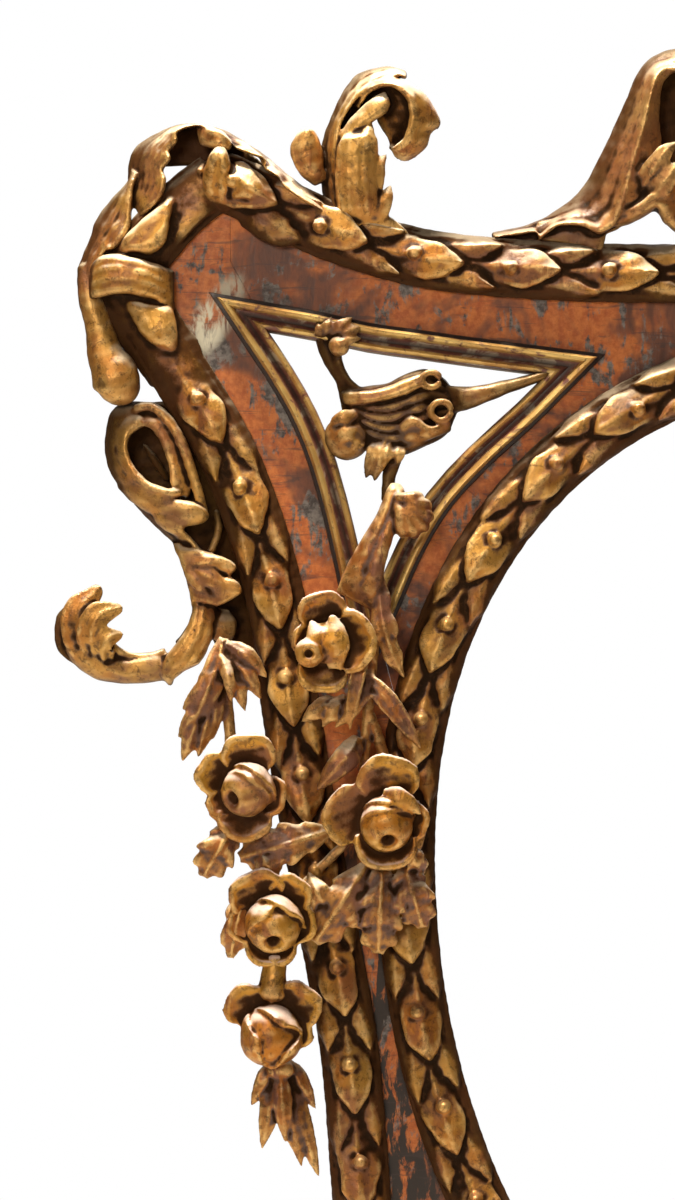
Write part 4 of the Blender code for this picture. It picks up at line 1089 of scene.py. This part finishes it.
def build_top_scroll(look):
    """The upright acanthus scroll on the top rail."""
    shells = Shells()
    # the lobe on its left
    panel(shells, [
        (-553, 716, 48, -541, 722, 48), (-568, 727, 54, -544, 734, 54), (-577, 744, 56, -545, 748, 56),
        (-577, 757, 56, -548, 760, 56), (-569, 769, 54, -553, 770, 54), (-562, 773, 50, -558, 773, 50)
    ], 9, 14, 1, 2.0)
    # the outer stem, its top swept over to the right
    panel(shells, [
        (-538, 672, 36, -524, 672, 56), (-541, 690, 34, -527, 692, 58), (-546, 713, 32, -530, 716, 60),
        (-548, 735, 30, -532, 740, 62), (-547, 755, 30, -531, 760, 62), (-543, 772, 30, -526, 778, 62),
        (-534, 794, 30, -516, 795, 64), (-526, 811, 30, -506, 806, 64), (-514, 827, 32, -494, 814, 64),
        (-500, 834, 34, -480, 819, 64), (-480, 837, 36, -468, 824, 62), (-461, 832, 40, -461, 822, 58)
    ], 6, 16, 3, 2.4, 41)
    # the rolled tongue inside it
    panel(shells, [
        (-532, 730, 56, -524, 728, 62), (-531, 750, 58, -521, 748, 66), (-528, 766, 60, -516, 760, 68),
        (-519, 780, 62, -506, 770, 70), (-507, 792, 64, -495, 778, 72), (-494, 803, 66, -483, 786, 72),
        (-483, 808, 66, -477, 796, 70)], 5, 16, 1, 1.6)
    # the tip that curls over and hangs down on the right, and the hollow under it
    panel(shells, [
        (-516, 800, 44, -510, 792, 54), (-499, 820, 50, -496, 808, 66), (-478, 823, 56, -480, 812, 74),
        (-460, 818, 60, -468, 806, 79), (-444, 807, 62, -461, 796, 81), (-433, 792, 60, -459, 784, 81),
        (-427, 777, 56, -460, 774, 80), (-437, 768, 58, -462, 767, 79), (-440, 757, 58, -465, 760, 77),
        (-450, 746, 58, -470, 756, 74), (-463, 740, 58, -475, 752, 70), (-473, 744, 58, -478, 752, 64)
    ], 8, 16, 2, 1.8, 41)
    panel(shells, [
        (-486, 818, 62, -504, 806, 48), (-466, 808, 76, -494, 794, 46), (-455, 796, 79, -490, 780, 48),
        (-452, 782, 78, -484, 770, 50), (-456, 768, 76, -478, 758, 54), (-466, 755, 70, -480, 752, 58)
    ], -3, 10)
    blade(shells, [(-538, 735, 40), (-536, 765, 42), (-526, 795, 44), (-508, 812, 46), (-488, 814, 46)],
          [(-518, 735, 44), (-516, 760, 46), (-508, 782, 48), (-496, 794, 48), (-486, 800, 48)], 0, 10)
    # the front leaf, standing on the moulding
    panel(shells, [
        (-526, 676, 58, -490, 674, 58), (-531, 696, 64, -488, 696, 64), (-533, 718, 67, -490, 720, 68),
        (-532, 740, 69, -490, 744, 70), (-529, 756, 69, -491, 760, 71), (-523, 764, 68, -498, 770, 70)
    ], 10, 18, 5, 1.0, 41)
    for spine, half in (
            ([(-504, 700, 64), (-495, 720, 72), (-488, 736, 72), (-481, 746, 64)], 12),
            ([(-500, 676, 60), (-488, 692, 68), (-481, 705, 68), (-477, 716, 60)], 11)):
        leaf(shells, spine, half, cup=-0.3, thick=10)
    for tip, root in (
            ((-524, 765, 66), (-522, 742, 78)), ((-512, 772, 66), (-512, 746, 80)),
            ((-498, 780, 66), (-502, 750, 80))):
        arched(shells, root, tip, 8, (0, 0, 3), cup=-0.25, ridge=1.2, thick=10)
    for spine, half in (
            ([(-510, 688, 56), (-492, 682, 62), (-474, 674, 62), (-456, 664, 56)], 7),
            ([(-508, 684, 60), (-520, 672, 68), (-534, 667, 66), (-548, 670, 56)], 9)):
        leaf(shells, spine, half, cup=-0.3, thick=12)
    place_pair("top_scroll", shells, look)


def build_crest(look):
    """The two sweeping crest leaves and the shell cartouche between them."""
    shells = Shells()
    # the long sweep, from its low tip on the moulding to its head, with a few tips below
    panel(shells, [
        (-376, 670, 40, -374, 663, 52), (-356, 674, 34, -352, 666, 58), (-340, 678, 32, -332, 668, 62),
        (-328, 683, 31, -328, 661, 64), (-318, 688, 30, -311, 674, 64), (-306, 696, 30, -296, 675, 66),
        (-296, 703, 30, -284, 673, 68), (-286, 713, 30, -268, 666, 70), (-278, 724, 30, -253, 675, 72),
        (-271, 737, 30, -246, 694, 74), (-262, 755, 30, -239, 722, 76), (-253, 774, 30, -230, 752, 76),
        (-244, 794, 30, -222, 780, 75), (-236, 813, 31, -216, 806, 72), (-229, 829, 32, -210, 824, 68),
        (-219, 843, 34, -202, 830, 62), (-206, 851, 36, -193, 829, 62), (-190, 855, 38, -182, 831, 60),
        (-174, 853, 40, -168, 835, 56), (-162, 848, 44, -160, 840, 52)], 4, 16, 3, 2.4, 57, 0.5)
    # the hollow beside it, and the lobes that turn in towards the middle
    panel(shells, [
        (-258, 674, 66, -246, 674, 58), (-250, 692, 72, -228, 682, 62), (-243, 716, 75, -212, 700, 64),
        (-236, 742, 75, -206, 730, 60), (-229, 768, 75, -206, 760, 56), (-222, 795, 73, -208, 790, 56),
        (-215, 815, 69, -205, 815, 56), (-205, 832, 62, -196, 828, 56)], 1, 16, 1, 2.0)
    panel(shells, [
        (-252, 686, 62, -245, 675, 58), (-234, 694, 70, -229, 681, 62), (-216, 708, 73, -212, 690, 66),
        (-204, 718, 72, -204, 679, 64), (-186, 728, 66, -190, 668, 58)], 8, 18, 2, 2.2, 33, 0.5)
    for spine in (
            [(-230, 706, 68), (-216, 728, 80), (-204, 746, 82), (-190, 758, 72)],
            [(-224, 694, 68), (-208, 712, 80), (-196, 728, 82), (-184, 738, 72)]):
        leaf(shells, spine, 12, cup=-0.2, thick=10, ridge=1.5)
    # dark lobes under the sweep, the foot on the moulding, and the sheet behind
    panel(shells, [
        (-375, 668, 40, -374, 644, 42), (-352, 672, 42, -350, 646, 44), (-331, 676, 44, -331, 654, 46),
        (-329, 680, 46, -328, 660, 48), (-310, 684, 48, -304, 657, 50), (-292, 688, 50, -288, 652, 52),
        (-270, 684, 52, -264, 666, 54), (-256, 682, 52, -248, 672, 54)], 3, 12, 0, 0, 25, 0.5)
    panel(shells, [
        (-300, 680, 40, -262, 676, 44), (-294, 664, 48, -262, 662, 52), (-288, 649, 50, -266, 648, 54)
    ], 4, 12)
    blade(shells, [(-222, 838, 28), (-222, 800, 28), (-220, 755, 28), (-214, 712, 28)],
          [(-158, 840, 30), (-167, 800, 30), (-178, 760, 30), (-186, 716, 30)], 1, 10)
    place_pair("crest_leaf", shells, look)
    build_cartouche(look)


def build_cartouche(look):
    """The shell in the middle of the crest, on two small scrolls."""
    half = Shells()
    for k in range(5):
        angle = math.radians(90 + 8 + k * 15)
        reach = 118 - 5 * k
        tip = (reach * math.cos(angle), 762 + reach * math.sin(angle), 60)
        root = (-2 + 14 * math.cos(angle), 745 + 10 * math.sin(angle), 66)
        arched(half, root, tip, 14, (0, 0, 16), shape=[(0, 0.35), (0.5, 0.8), (0.85, 1.0), (1, 0.55)],
               cup=-0.35, thick=18)
    blade(half, [
        (0, 874, 26), (-60, 864, 26), (-104, 836, 26), (-134, 792, 26), (-146, 742, 26), (-158, 700, 26),
        (-170, 664, 28)
    ], [
        (0, 652, 26), (-40, 652, 26), (-70, 652, 26), (-100, 652, 26), (-124, 652, 26), (-146, 652, 26),
        (-168, 654, 28)
    ], 6, 8)
    tube(half, [
        (-150, 668, 60, 12), (-156, 700, 62, 12), (-142, 726, 64, 13), (-116, 730, 66, 13),
        (-102, 712, 66, 12), (-110, 696, 64, 9), (-122, 700, 62, 7)], sides=20)
    ball(half, (-116, 708, 62), 9, hole=0.3)
    tube(half, [
        (-166, 660, 44, 9), (-172, 720, 44, 9), (-160, 780, 46, 10), (-132, 828, 46, 11),
        (-92, 862, 46, 12), (-44, 880, 46, 12), (0, 884, 46, 12)], sides=20, ends=0.05)
    ball(half, (0, 722, 58), (46, 54, 32))
    for k in range(7):
        angle = math.radians(90 + 28 * k)
        leaf(half, [
            (38 * math.cos(angle), 722 + 46 * math.sin(angle), 68),
            (52 * math.cos(angle), 722 + 60 * math.sin(angle), 72),
            (66 * math.cos(angle + 0.12), 722 + 74 * math.sin(angle + 0.12), 58)
        ], 13, [(0, 0.7), (0.5, 1.0), (1, 0.2)], cup=-0.3, ridge=1.5, thick=12)
    leaf(half, [(0, 690, 66), (-34, 668, 72), (-72, 660, 72), (-104, 664, 60)], 17, lobes=3, notch=0.3,
         cup=-0.2, veins=3, ridge=1.5, thick=14, columns=25)
    leaf(half, [(0, 700, 72), (0, 672, 78), (0, 646, 66)], 14, cup=-0.3, ridge=1.5, thick=14)
    finish_across("crest_cartouche", half, look)


def build_spandrel_scroll(look):
    """The small scroll that fills the upper spandrel."""
    shells = Shells()
    # sprig at the top, on its hollow stem
    for root, tip, half in (
            ((-540, 560, 52), (-503, 574, 56), 9), ((-540, 562, 54), (-514, 584, 56), 8),
            ((-544, 562, 52), (-536, 585, 54), 8), ((-546, 560, 50), (-552, 580, 52), 7),
            ((-536, 556, 54), (-506, 562, 56), 7)):
        arched(shells, root, tip, half, (0, 1, 9), cup=-0.25, ridge=1.6, thick=9)
    ball(shells, (-529, 554, 58), (11, 10, 9))
    panel(shells, [
        (-553, 566, 44, -534, 560, 50), (-550, 552, 46, -527, 550, 54), (-545, 540, 46, -525, 538, 54),
        (-537, 527, 46, -519, 525, 54), (-527, 512, 46, -508, 514, 54), (-514, 500, 46, -494, 506, 52)
    ], 3, 15, 2, 3.0)
    # knob on the left, wrapped in three leaves
    ball(shells, (-521, 463, 52), (23, 23, 15))
    for root, tip, half in (
            ((-504, 484, 58), (-540, 470, 58), 9), ((-504, 472, 60), (-534, 450, 58), 9),
            ((-502, 462, 58), (-518, 442, 56), 8)):
        arched(shells, root, tip, half, (-2, 4, 12), shape=[(0, 0.4), (0.5, 1.0), (0.85, 0.8), (1, 0.4)],
               cup=-0.4, thick=10)
    # one reeded body, with a curl at each of its two eyes
    panel(shells, [
        (-531, 517, 46, -524, 482, 46), (-514, 514, 50, -508, 464, 52), (-498, 515, 52, -494, 452, 54),
        (-480, 518, 52, -478, 446, 54), (-464, 526, 52, -462, 446, 54), (-446, 532, 50, -446, 453, 54),
        (-434, 530, 42, -430, 460, 46), (-421, 521, 38, -418, 470, 42), (-413, 506, 38, -411, 487, 38)
    ], 10, 18, 7, 3.0, 71)
    for x, height, wide, tall in ((-437, 520, 9, 7.5), (-427, 489, 10, 9.5)):
        angles = np.linspace(0, 2 * math.pi, 17)
        ring = [(x + wide * math.cos(a), height + tall * math.sin(a), 62, 3.6) for a in angles]
        tube(shells, ring, ends=0.01)
    panel(shells, [
        (-528, 508, 54, -524, 496, 58), (-508, 509, 62, -502, 496, 66), (-486, 512, 64, -480, 500, 68),
        (-466, 520, 64, -460, 506, 68), (-449, 526, 62, -446, 514, 66)], 3, 12, 2, 1.6)
    panel(shells, [
        (-478, 466, 58, -470, 452, 56), (-458, 484, 66, -452, 456, 60), (-438, 474, 66, -434, 462, 60),
        (-418, 480, 60, -416, 470, 54)], 4, 12, 2, 1.6)
    # the spur that reaches the bead on the right
    panel(shells, [
        (-421, 516, 46, -416, 488, 46), (-404, 514, 52, -400, 491, 52), (-384, 516, 54, -382, 498, 54),
        (-360, 521, 52, -358, 508, 52), (-334, 527, 50, -333, 517, 50), (-308, 534, 48, -308, 526, 48)
    ], 8, 16, 2, 1.2)
    # leaves that hang from it, and the stem to the fork
    for root, tip, half in (
            ((-486, 462, 58), (-503, 421, 54), 10), ((-482, 462, 60), (-494, 418, 56), 9),
            ((-478, 458, 60), (-486, 432, 58), 9), ((-470, 456, 58), (-470, 434, 56), 9)):
        arched(shells, root, tip, half, (0, 0, 8), ridge=1.6, cup=-0.2, thick=10)
    tube(shells, [(-470, 462, 50, 11), (-474, 444, 50, 9), (-479, 422, 50, 7), (-480, 396, 52, 7)])
    place_pair("spandrel_scroll", shells, look)


def build_garland_leaves(look):
    """Fork of stems, and the leaves of the rose garland."""
    shells = Shells()
    # the ribbed snail and the smooth fork above the garland
    ball(shells, (-458, 385, 72), (19, 19, 13))
    for k in range(6):
        angle = math.radians(62 - 34 * k)
        side, rise = math.cos(angle), math.sin(angle)
        tube(shells, [
            (-472, 402, 78, 4), (-466 + 7 * side, 394 + 8 * rise, 88, 6),
            (-461 + 17 * side, 387 + 17 * rise, 86, 6.5), (-458 + 21 * side, 384 + 21 * rise, 74, 5)])
    panel(shells, [
        (-477, 417, 70, -468, 417, 70), (-481, 411, 74, -463, 406, 74), (-488, 393, 78, -468, 388, 80),
        (-497, 376, 80, -474, 366, 84), (-507, 360, 80, -480, 346, 86), (-517, 342, 78, -485, 326, 86),
        (-525, 326, 76, -488, 306, 84), (-532, 308, 72, -492, 288, 80)], 7, 14, 2, 2.2, 37)
    tube(shells, [(-494, 318, 76, 9), (-492, 290, 74, 7), (-498, 220, 72, 6), (-505, 120, 72, 5)], sides=20)
    leaf(shells, [(-489, 330, 76), (-487, 290, 88), (-478, 252, 90), (-464, 222, 80)], 14, lobes=3,
         notch=0.22, veins=2, ridge=2, cup=-0.15, thick=8, columns=25)
    for spine, half, ridge, cup, thick in (
            ([(-506, 226, 78), (-486, 206, 90), (-466, 180, 90), (-447, 151, 80)], 11, 1.5, 0.2, 7),
            ([(-500, 240, 78), (-506, 212, 90), (-520, 188, 92), (-534, 172, 84)], 12, 1.5, -0.3, 8),
            ([(-530, 200, 78), (-544, 194, 88), (-557, 186, 90), (-567, 178, 82)], 11, 1.5, -0.3, 8),
            ([(-522, 206, 80), (-532, 192, 90), (-540, 182, 90), (-546, 172, 82)], 9, 1.5, -0.3, 8),
            ([(-510, 164, 80), (-520, 146, 92), (-536, 128, 92), (-552, 110, 80)], 14, 2, -0.3, 8),
            ([(-500, 252, 84), (-510, 226, 94), (-516, 196, 94), (-518, 170, 84)], 8, 1, 0.3, 7)):
        leaf(shells, spine, half, ridge=ridge, cup=cup, thick=thick)
    for stem in ([(-535, 262, 70, 6), (-512, 238, 70, 6), (-500, 205, 72, 6)],
                 [(-500, 190, 72, 6), (-484, 140, 70, 6), (-484, 60, 72, 6), (-486, 5, 72, 6)],
                 [(-646, 262, 62, 5), (-641, 200, 64, 6), (-632, 120, 70, 6), (-612, 40, 70, 5),
                  (-594, -20, 72, 6), (-597, -120, 72, 6), (-588, -176, 74, 6)],
                 [(-520, 60, 70, 5), (-560, 20, 70, 5), (-594, -20, 72, 5)],
                 [(-505, 120, 70, 5), (-512, 80, 70, 5), (-520, 58, 70, 5)]):
        tube(shells, stem)
    # the sprig at the head of the side garland
    leaf(shells, [(-644, 262, 66), (-652, 230, 76), (-664, 200, 80), (-682, 158, 72)], 14, ridge=2.5,
         cup=-0.2, thick=9)
    for root, tip, half in (
            ((-650, 236, 72), (-668, 206, 74), 9), ((-656, 218, 74), (-686, 190, 72), 10),
            ((-664, 198, 76), (-690, 162, 70), 10), ((-668, 186, 76), (-686, 138, 68), 10),
            ((-656, 196, 74), (-670, 142, 70), 10), ((-650, 210, 72), (-655, 160, 70), 9)):
        arched(shells, root, tip, half, (0, 0, 5), ridge=1.8, cup=-0.25, thick=7)
    for root, tip, half in (
            ((-640, 256, 70), (-600, 222, 72), 11), ((-638, 244, 72), (-606, 200, 72), 10),
            ((-640, 230, 72), (-622, 188, 74), 9), ((-646, 244, 74), (-636, 196, 82), 7)):
        arched(shells, root, tip, half, (2, 2, 8), ridge=1.8, cup=-0.25, thick=7)
    # leaves round the roses: base, tip, half-width, lobes
    for root, tip, half, lobes in (
            ((-630, 84), (-664, 25), 19, 3), ((-534, 72), (-628, 44), 21, 4),
            ((-500, 40), (-553, -40), 22, 3), ((-486, 42), (-490, -51), 22, 4),
            ((-466, 46), (-446, -26), 19, 3), ((-462, 60), (-446, 26), 11, 2),
            ((-560, 30), (-540, -12), 12, 2), ((-612, 56), (-590, 22), 12, 2),
            ((-622, 18), (-637, -56), 14, 2)):
        bend = ((root[0] + tip[0]) / 2, (root[1] + tip[1]) / 2, 98)
        leaf(shells, [(*root, 82), bend, (*tip, 84)], 1.15 * half, BLUNT, lobes=lobes, notch=0.24,
             sweep=0.5, veins=1.2, ridge=1.8, cup=-0.20, vein_count=6, thick=7, columns=33)
    # the spray below the bud
    for root, tip, half in (
            ((-592, -160, 76), (-617, -204, 76), 11), ((-590, -166, 80), (-606, -248, 76), 12),
            ((-587, -170, 84), (-582, -240, 84), 10), ((-586, -170, 80), (-566, -265, 76), 12),
            ((-584, -164, 78), (-549, -276, 70), 12), ((-580, -160, 74), (-552, -208, 70), 11),
            ((-590, -158, 72), (-600, -214, 70), 12)):
        arched(shells, root, tip, half, (0, 0, 8), ridge=2, cup=-0.25, thick=7)
    ball(shells, (-588, -168, 78), (14, 12, 10))
    place_pair("garland_leaves", shells, look)


def rose(shells, centre, radius, hole, lids, petals):
    """A bud with a hole turned (x, height) off its middle, lids closed over it and open petals round it.

    lids are (direction, spread, rim, size) and petals (direction, spread, reach, low, high), the
    last two measured from the depth of the bud's middle.
    """
    depth = centre[2]
    toward = (*hole, math.sqrt(radius ** 2 - hole[0] ** 2 - hole[1] ** 2))
    ball(shells, centre, (radius, radius, 0.84 * radius), 0.75, toward, 0.34)
    for turn, spread, front, size in lids:
        lid(shells, centre, radius * size, turn, spread, front)
    for turn, spread, reach, low, high in petals:
        bowl_petal(shells, centre, 0.75 * radius, reach, turn, spread, depth + low, depth + high)


def build_roses(look):
    """The roses and the bud of the garland, each turned its own way."""
    shells = Shells()
    rose(shells, (-482, 76, 97), 26, (2, -18), [(95, 88, 0.55, 1.05), (80, 70, 0.80, 1.16)],
         [(88, 38, 70, -7, 12), (164, 42, 63, -8, 7), (268, 72, 43, -8, 7), (14, 42, 42, -10, 5)])
    leaf(shells, [(-486, 110, 104), (-474, 106, 115), (-460, 99, 115), (-447, 87, 104)], 11, cup=-0.3,
         thick=8)
    place_pair("rose_large", shells, look)

    shells = Shells()
    rose(shells, (-541, 258, 92), 21, (-20, -6), [(20, 70, 0.40, 1.10)],
         [(2, 60, 48, -1, 15), (98, 44, 50, -4, 12), (262, 46, 50, -6, 7), (175, 40, 34, -6, 5)])
    ball(shells, (-558, 248, 102), (15, 15, 13), 0.8, (-0.1, -0.05, 1), 0.42)
    for root, tip, half in (
            ((-552, 244, 102), (-557, 281, 98), 12), ((-533, 232, 102), (-536, 287, 100), 14)):
        arched(shells, root, tip, half, (3, 0, 10), shape=[(0, 0.5), (0.5, 1.0), (0.85, 0.7), (1, 0.25)],
               cup=-0.35, thick=7)
    place_pair("rose_high", shells, look)

    shells = Shells()
    rose(shells, (-621, 110, 97), 25, (-17, -8), [(55, 84, 0.42, 1.06), (50, 74, 0.72, 1.18)],
         [(86, 42, 57, -7, 9), (150, 34, 54, -8, 6), (206, 28, 42, -9, 3), (266, 50, 49, -8, 5),
          (350, 44, 40, -10, 3)])
    place_pair("rose_outer", shells, look)

    shells = Shells()
    rose(shells, (-594, -23, 97), 27, (0, -19), [(130, 78, 0.42, 1.06), (60, 70, 0.70, 1.15)],
         [(118, 44, 58, -7, 9), (62, 34, 54, -8, 7), (176, 34, 46, -9, 4), (262, 60, 41, -9, 4),
          (4, 40, 42, -10, 3)])
    place_pair("rose_low", shells, look)

    shells = Shells()
    centre = (-597, -132, 96)
    ball(shells, centre, (29, 30, 22))
    for turn, spread, front, size in ((200, 70, 0.35, 1.06), (60, 66, 0.55, 1.10), (320, 64, 0.75, 1.10)):
        lid(shells, centre, 29 * size, turn, spread, front, 0.78)
    for turn, spread, reach, high in (
            (128, 34, 58, 102), (88, 30, 52, 98), (48, 34, 62, 102), (4, 30, 42, 98)):
        bowl_petal(shells, centre, 22, reach, turn, spread, 91, high)
    tube(shells, [(-592, -50, 84, 11), (-594, -74, 88, 13), (-596, -100, 90, 17)])
    place_pair("rose_bud", shells, look)


def build_foot_clasp(look):
    """The acanthus that wraps the lower corner."""
    shells = Shells()
    blade(shells, [(-545, -505, 34), (-596, -520, 30), (-640, -560, 28), (-662, -615, 28), (-652, -675, 28),
                   (-618, -716, 28), (-572, -735, 30), (-520, -732, 34), (-492, -714, 38)],
          [(-540, -520, 56), (-570, -540, 64), (-592, -570, 68), (-602, -610, 70), (-598, -650, 70),
           (-580, -680, 70), (-556, -694, 68), (-524, -704, 64), (-496, -706, 56)], 9, 14, 4, 2.4, 45)
    for root, tip, half in (
            ((-590, -540, 60), (-648, -556, 46), 17), ((-606, -580, 62), (-668, -604, 46), 18),
            ((-608, -620, 62), (-668, -652, 46), 18), ((-596, -660, 62), (-636, -706, 46), 18),
            ((-566, -684, 62), (-582, -740, 46), 17), ((-530, -696, 60), (-526, -738, 46), 15)):
        bend = tuple((np.array(root) * 0.45 + np.array(tip) * 0.55) + [0, 0, 14])
        leaf(shells, [root, bend, tip], half, ridge=2, cup=-0.25, thick=10)
    tube(shells, [
        (-596, -560, 60, 10), (-612, -600, 66, 13), (-606, -646, 68, 14), (-582, -672, 68, 13),
        (-556, -664, 68, 12), (-548, -640, 68, 11), (-562, -624, 68, 9), (-576, -634, 66, 6)], sides=20)
    ball(shells, (-565, -643, 66), 9, hole=0.3)
    place_pair("foot_clasp", shells, look, VOXEL)


# --- plain nodes ---

def finish_nodes():
    """Looks for the nodes whose own shape shows: boards, battens, buttons, screws and rings."""
    frieze, wood, iron = frieze_look(), bare_wood_look(), iron_look()
    for name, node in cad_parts.items():
        if any(word in name for word in ("rail", "stile", "brace")):
            look = frieze
        elif name.endswith("batten") or name.endswith("turn_button"):
            look = wood
        elif "screw" in name or "hanger" in name or "hanging" in name:
            look = iron
        else:
            continue
        node.data.materials.clear()
        node.data.materials.append(look)


# --- stage ---

FLOOR_DROP = 0.30                       # m, from the frame's foot down to the floor
FLOOR_SIDE, FLOOR_NEAR, FLOOR_FAR = 9.0, -12.0, 4.2     # m; its far edge is below the photograph's view
FADE_START, FADE_END = 0.9, 3.0         # m, from the middle, where the floor turns white
AMBIENT = 0.085                         # strength of the light from all round
CAMERA_PLACE = (-0.5305, -4.0, -0.305)
LENS = 118.2                            # mm, with a 36 mm sensor


def stage_floor():
    """A plain pale floor below the frame, which fades into the white round it."""
    look = Look("pale stage")
    x, y, _ = look.split()
    away = look.math("SQRT", look.plus(look.times(x, x), look.times(y, y)))
    seen = look.nodes.new("ShaderNodeLightPath").outputs["Is Camera Ray"]
    look.plug(look.shader.inputs["Emission Color"], (1.0, 1.0, 1.0))
    white = look.times(look.span(away, FADE_START, FADE_END), seen)
    look.plug(look.shader.inputs["Emission Strength"], white)
    look.finish((0.93, 0.93, 0.92), look.span(look.noise(3.0), 0.0, 1.0, 0.85, 0.95))
    low = CAD_BOX[0][2] - FLOOR_DROP
    mesh = bpy.data.meshes.new("stage_floor")
    corners = [(-FLOOR_SIDE, FLOOR_NEAR, low), (FLOOR_SIDE, FLOOR_NEAR, low),
               (FLOOR_SIDE, FLOOR_FAR, low), (-FLOOR_SIDE, FLOOR_FAR, low)]
    mesh.from_pydata(corners, [], [(0, 1, 2, 3)])
    mesh.materials.append(look.material)
    floor = bpy.data.objects.new("stage_floor", mesh)
    bpy.context.scene.collection.objects.link(floor)


def light_world():
    """White behind the object, with a softer and dimmer light from all round."""
    world = bpy.data.worlds.new("studio")
    bpy.context.scene.world = world
    world.use_nodes = True
    nodes, links = world.node_tree.nodes, world.node_tree.links
    background = nodes["Background"]
    seen = nodes.new("ShaderNodeBackground")
    seen.inputs["Color"].default_value = (1.0, 1.0, 1.0, 1.0)
    seen.inputs["Strength"].default_value = 1.0
    background.inputs["Color"].default_value = (1.0, 0.96, 0.90, 1.0)
    background.inputs["Strength"].default_value = AMBIENT
    path = nodes.new("ShaderNodeLightPath")
    mixer = nodes.new("ShaderNodeMixShader")
    links.new(path.outputs["Is Camera Ray"], mixer.inputs["Fac"])
    links.new(background.outputs["Background"], mixer.inputs[1])
    links.new(seen.outputs["Background"], mixer.inputs[2])
    links.new(mixer.outputs["Shader"], nodes["World Output"].inputs["Surface"])


def aim(item, target):
    """Turn a light to face a place."""
    item.rotation_euler = (Vector(target) - item.location).to_track_quat("-Z", "Y").to_euler()


def softbox(name, location, target, size, power, tint):
    """A round soft light."""
    data = bpy.data.lights.new(name, "AREA")
    data.shape = "DISK"
    data.size = size
    data.energy = power
    data.color = tint
    item = bpy.data.objects.new(name, data)
    bpy.context.scene.collection.objects.link(item)
    item.location = location
    aim(item, target)


def light_and_camera():
    """Three soft lights, and the camera where the photograph's was."""
    seen_part = (-0.45, -0.05, -0.35)
    softbox("key", (-0.9, -0.6, 3.2), seen_part, 0.6, 300.0, (1.0, 0.92, 0.78))
    softbox("front", (-1.6, -3.4, 0.9), seen_part, 1.2, 40.0, (1.0, 0.90, 0.78))
    softbox("back", (0.4, 2.6, 1.4), seen_part, 2.6, 30.0, (0.95, 0.97, 1.0))
    data = bpy.data.cameras.new("camera")
    data.sensor_width = 36.0
    data.lens = LENS
    camera = bpy.data.objects.new("camera", data)
    bpy.context.scene.collection.objects.link(camera)
    camera.location = CAMERA_PLACE
    camera.rotation_euler = (math.pi / 2, 0.0, 0.0)
    bpy.context.scene.camera = camera
    bpy.context.scene.view_settings.view_transform = "Standard"


# --- the whole frame ---

light_and_camera()
light_world()
stage_floor()
finish_nodes()
moulding_gilt = gilt_look("gilt of the mouldings", (0.54, 0.27, 0.05), brown=(0.11, 0.042, 0.016),
                          low=0.054, high=0.066, still=0.12, base=0.04)
ornament_gilt = gilt_look("gilt of the scrolls", (0.54, 0.285, 0.065), rubbed=0.45, dust_and_light=0.95,
                          low=0.038, high=0.062, still=0.5)
dark_gilt = gilt_look("darkened gilt", (0.42, 0.22, 0.05), dust_and_light=0.3, low=0.050, high=0.070, lost=0.13)
garland_gilt = gilt_look("gilt of the leaves", (0.42, 0.185, 0.045), (0.23, 0.09, 0.05),
                         (0.10, 0.042, 0.022), rubbed=0.8, dust_and_light=0.6, lost=0.09)
rose_gilt = gilt_look("gilt of the roses", (0.52, 0.25, 0.03), (0.28, 0.10, 0.04), (0.12, 0.045, 0.014),
                      rubbed=0.6, dust_and_light=1.0, lost=-0.02, hollow_shade=0.8, dust_and_light_colour=(0.85, 0.66, 0.57))
crest_gilt = gilt_look("gilt of the crest", (0.45, 0.24, 0.08), dust_and_light=0.45, low=0.038, high=0.062, still=0.5)
build_outer_mouldings(moulding_gilt)
build_sight_moulding(moulding_gilt)
build_beads(bead_look())
build_corner_acanthus(ornament_gilt)
build_eye_scroll(ornament_gilt)
build_top_scroll(ornament_gilt)
build_crest(crest_gilt)
build_spandrel_scroll(dark_gilt)
build_garland_leaves(garland_gilt)
build_roses(rose_gilt)
build_foot_clasp(ornament_gilt)
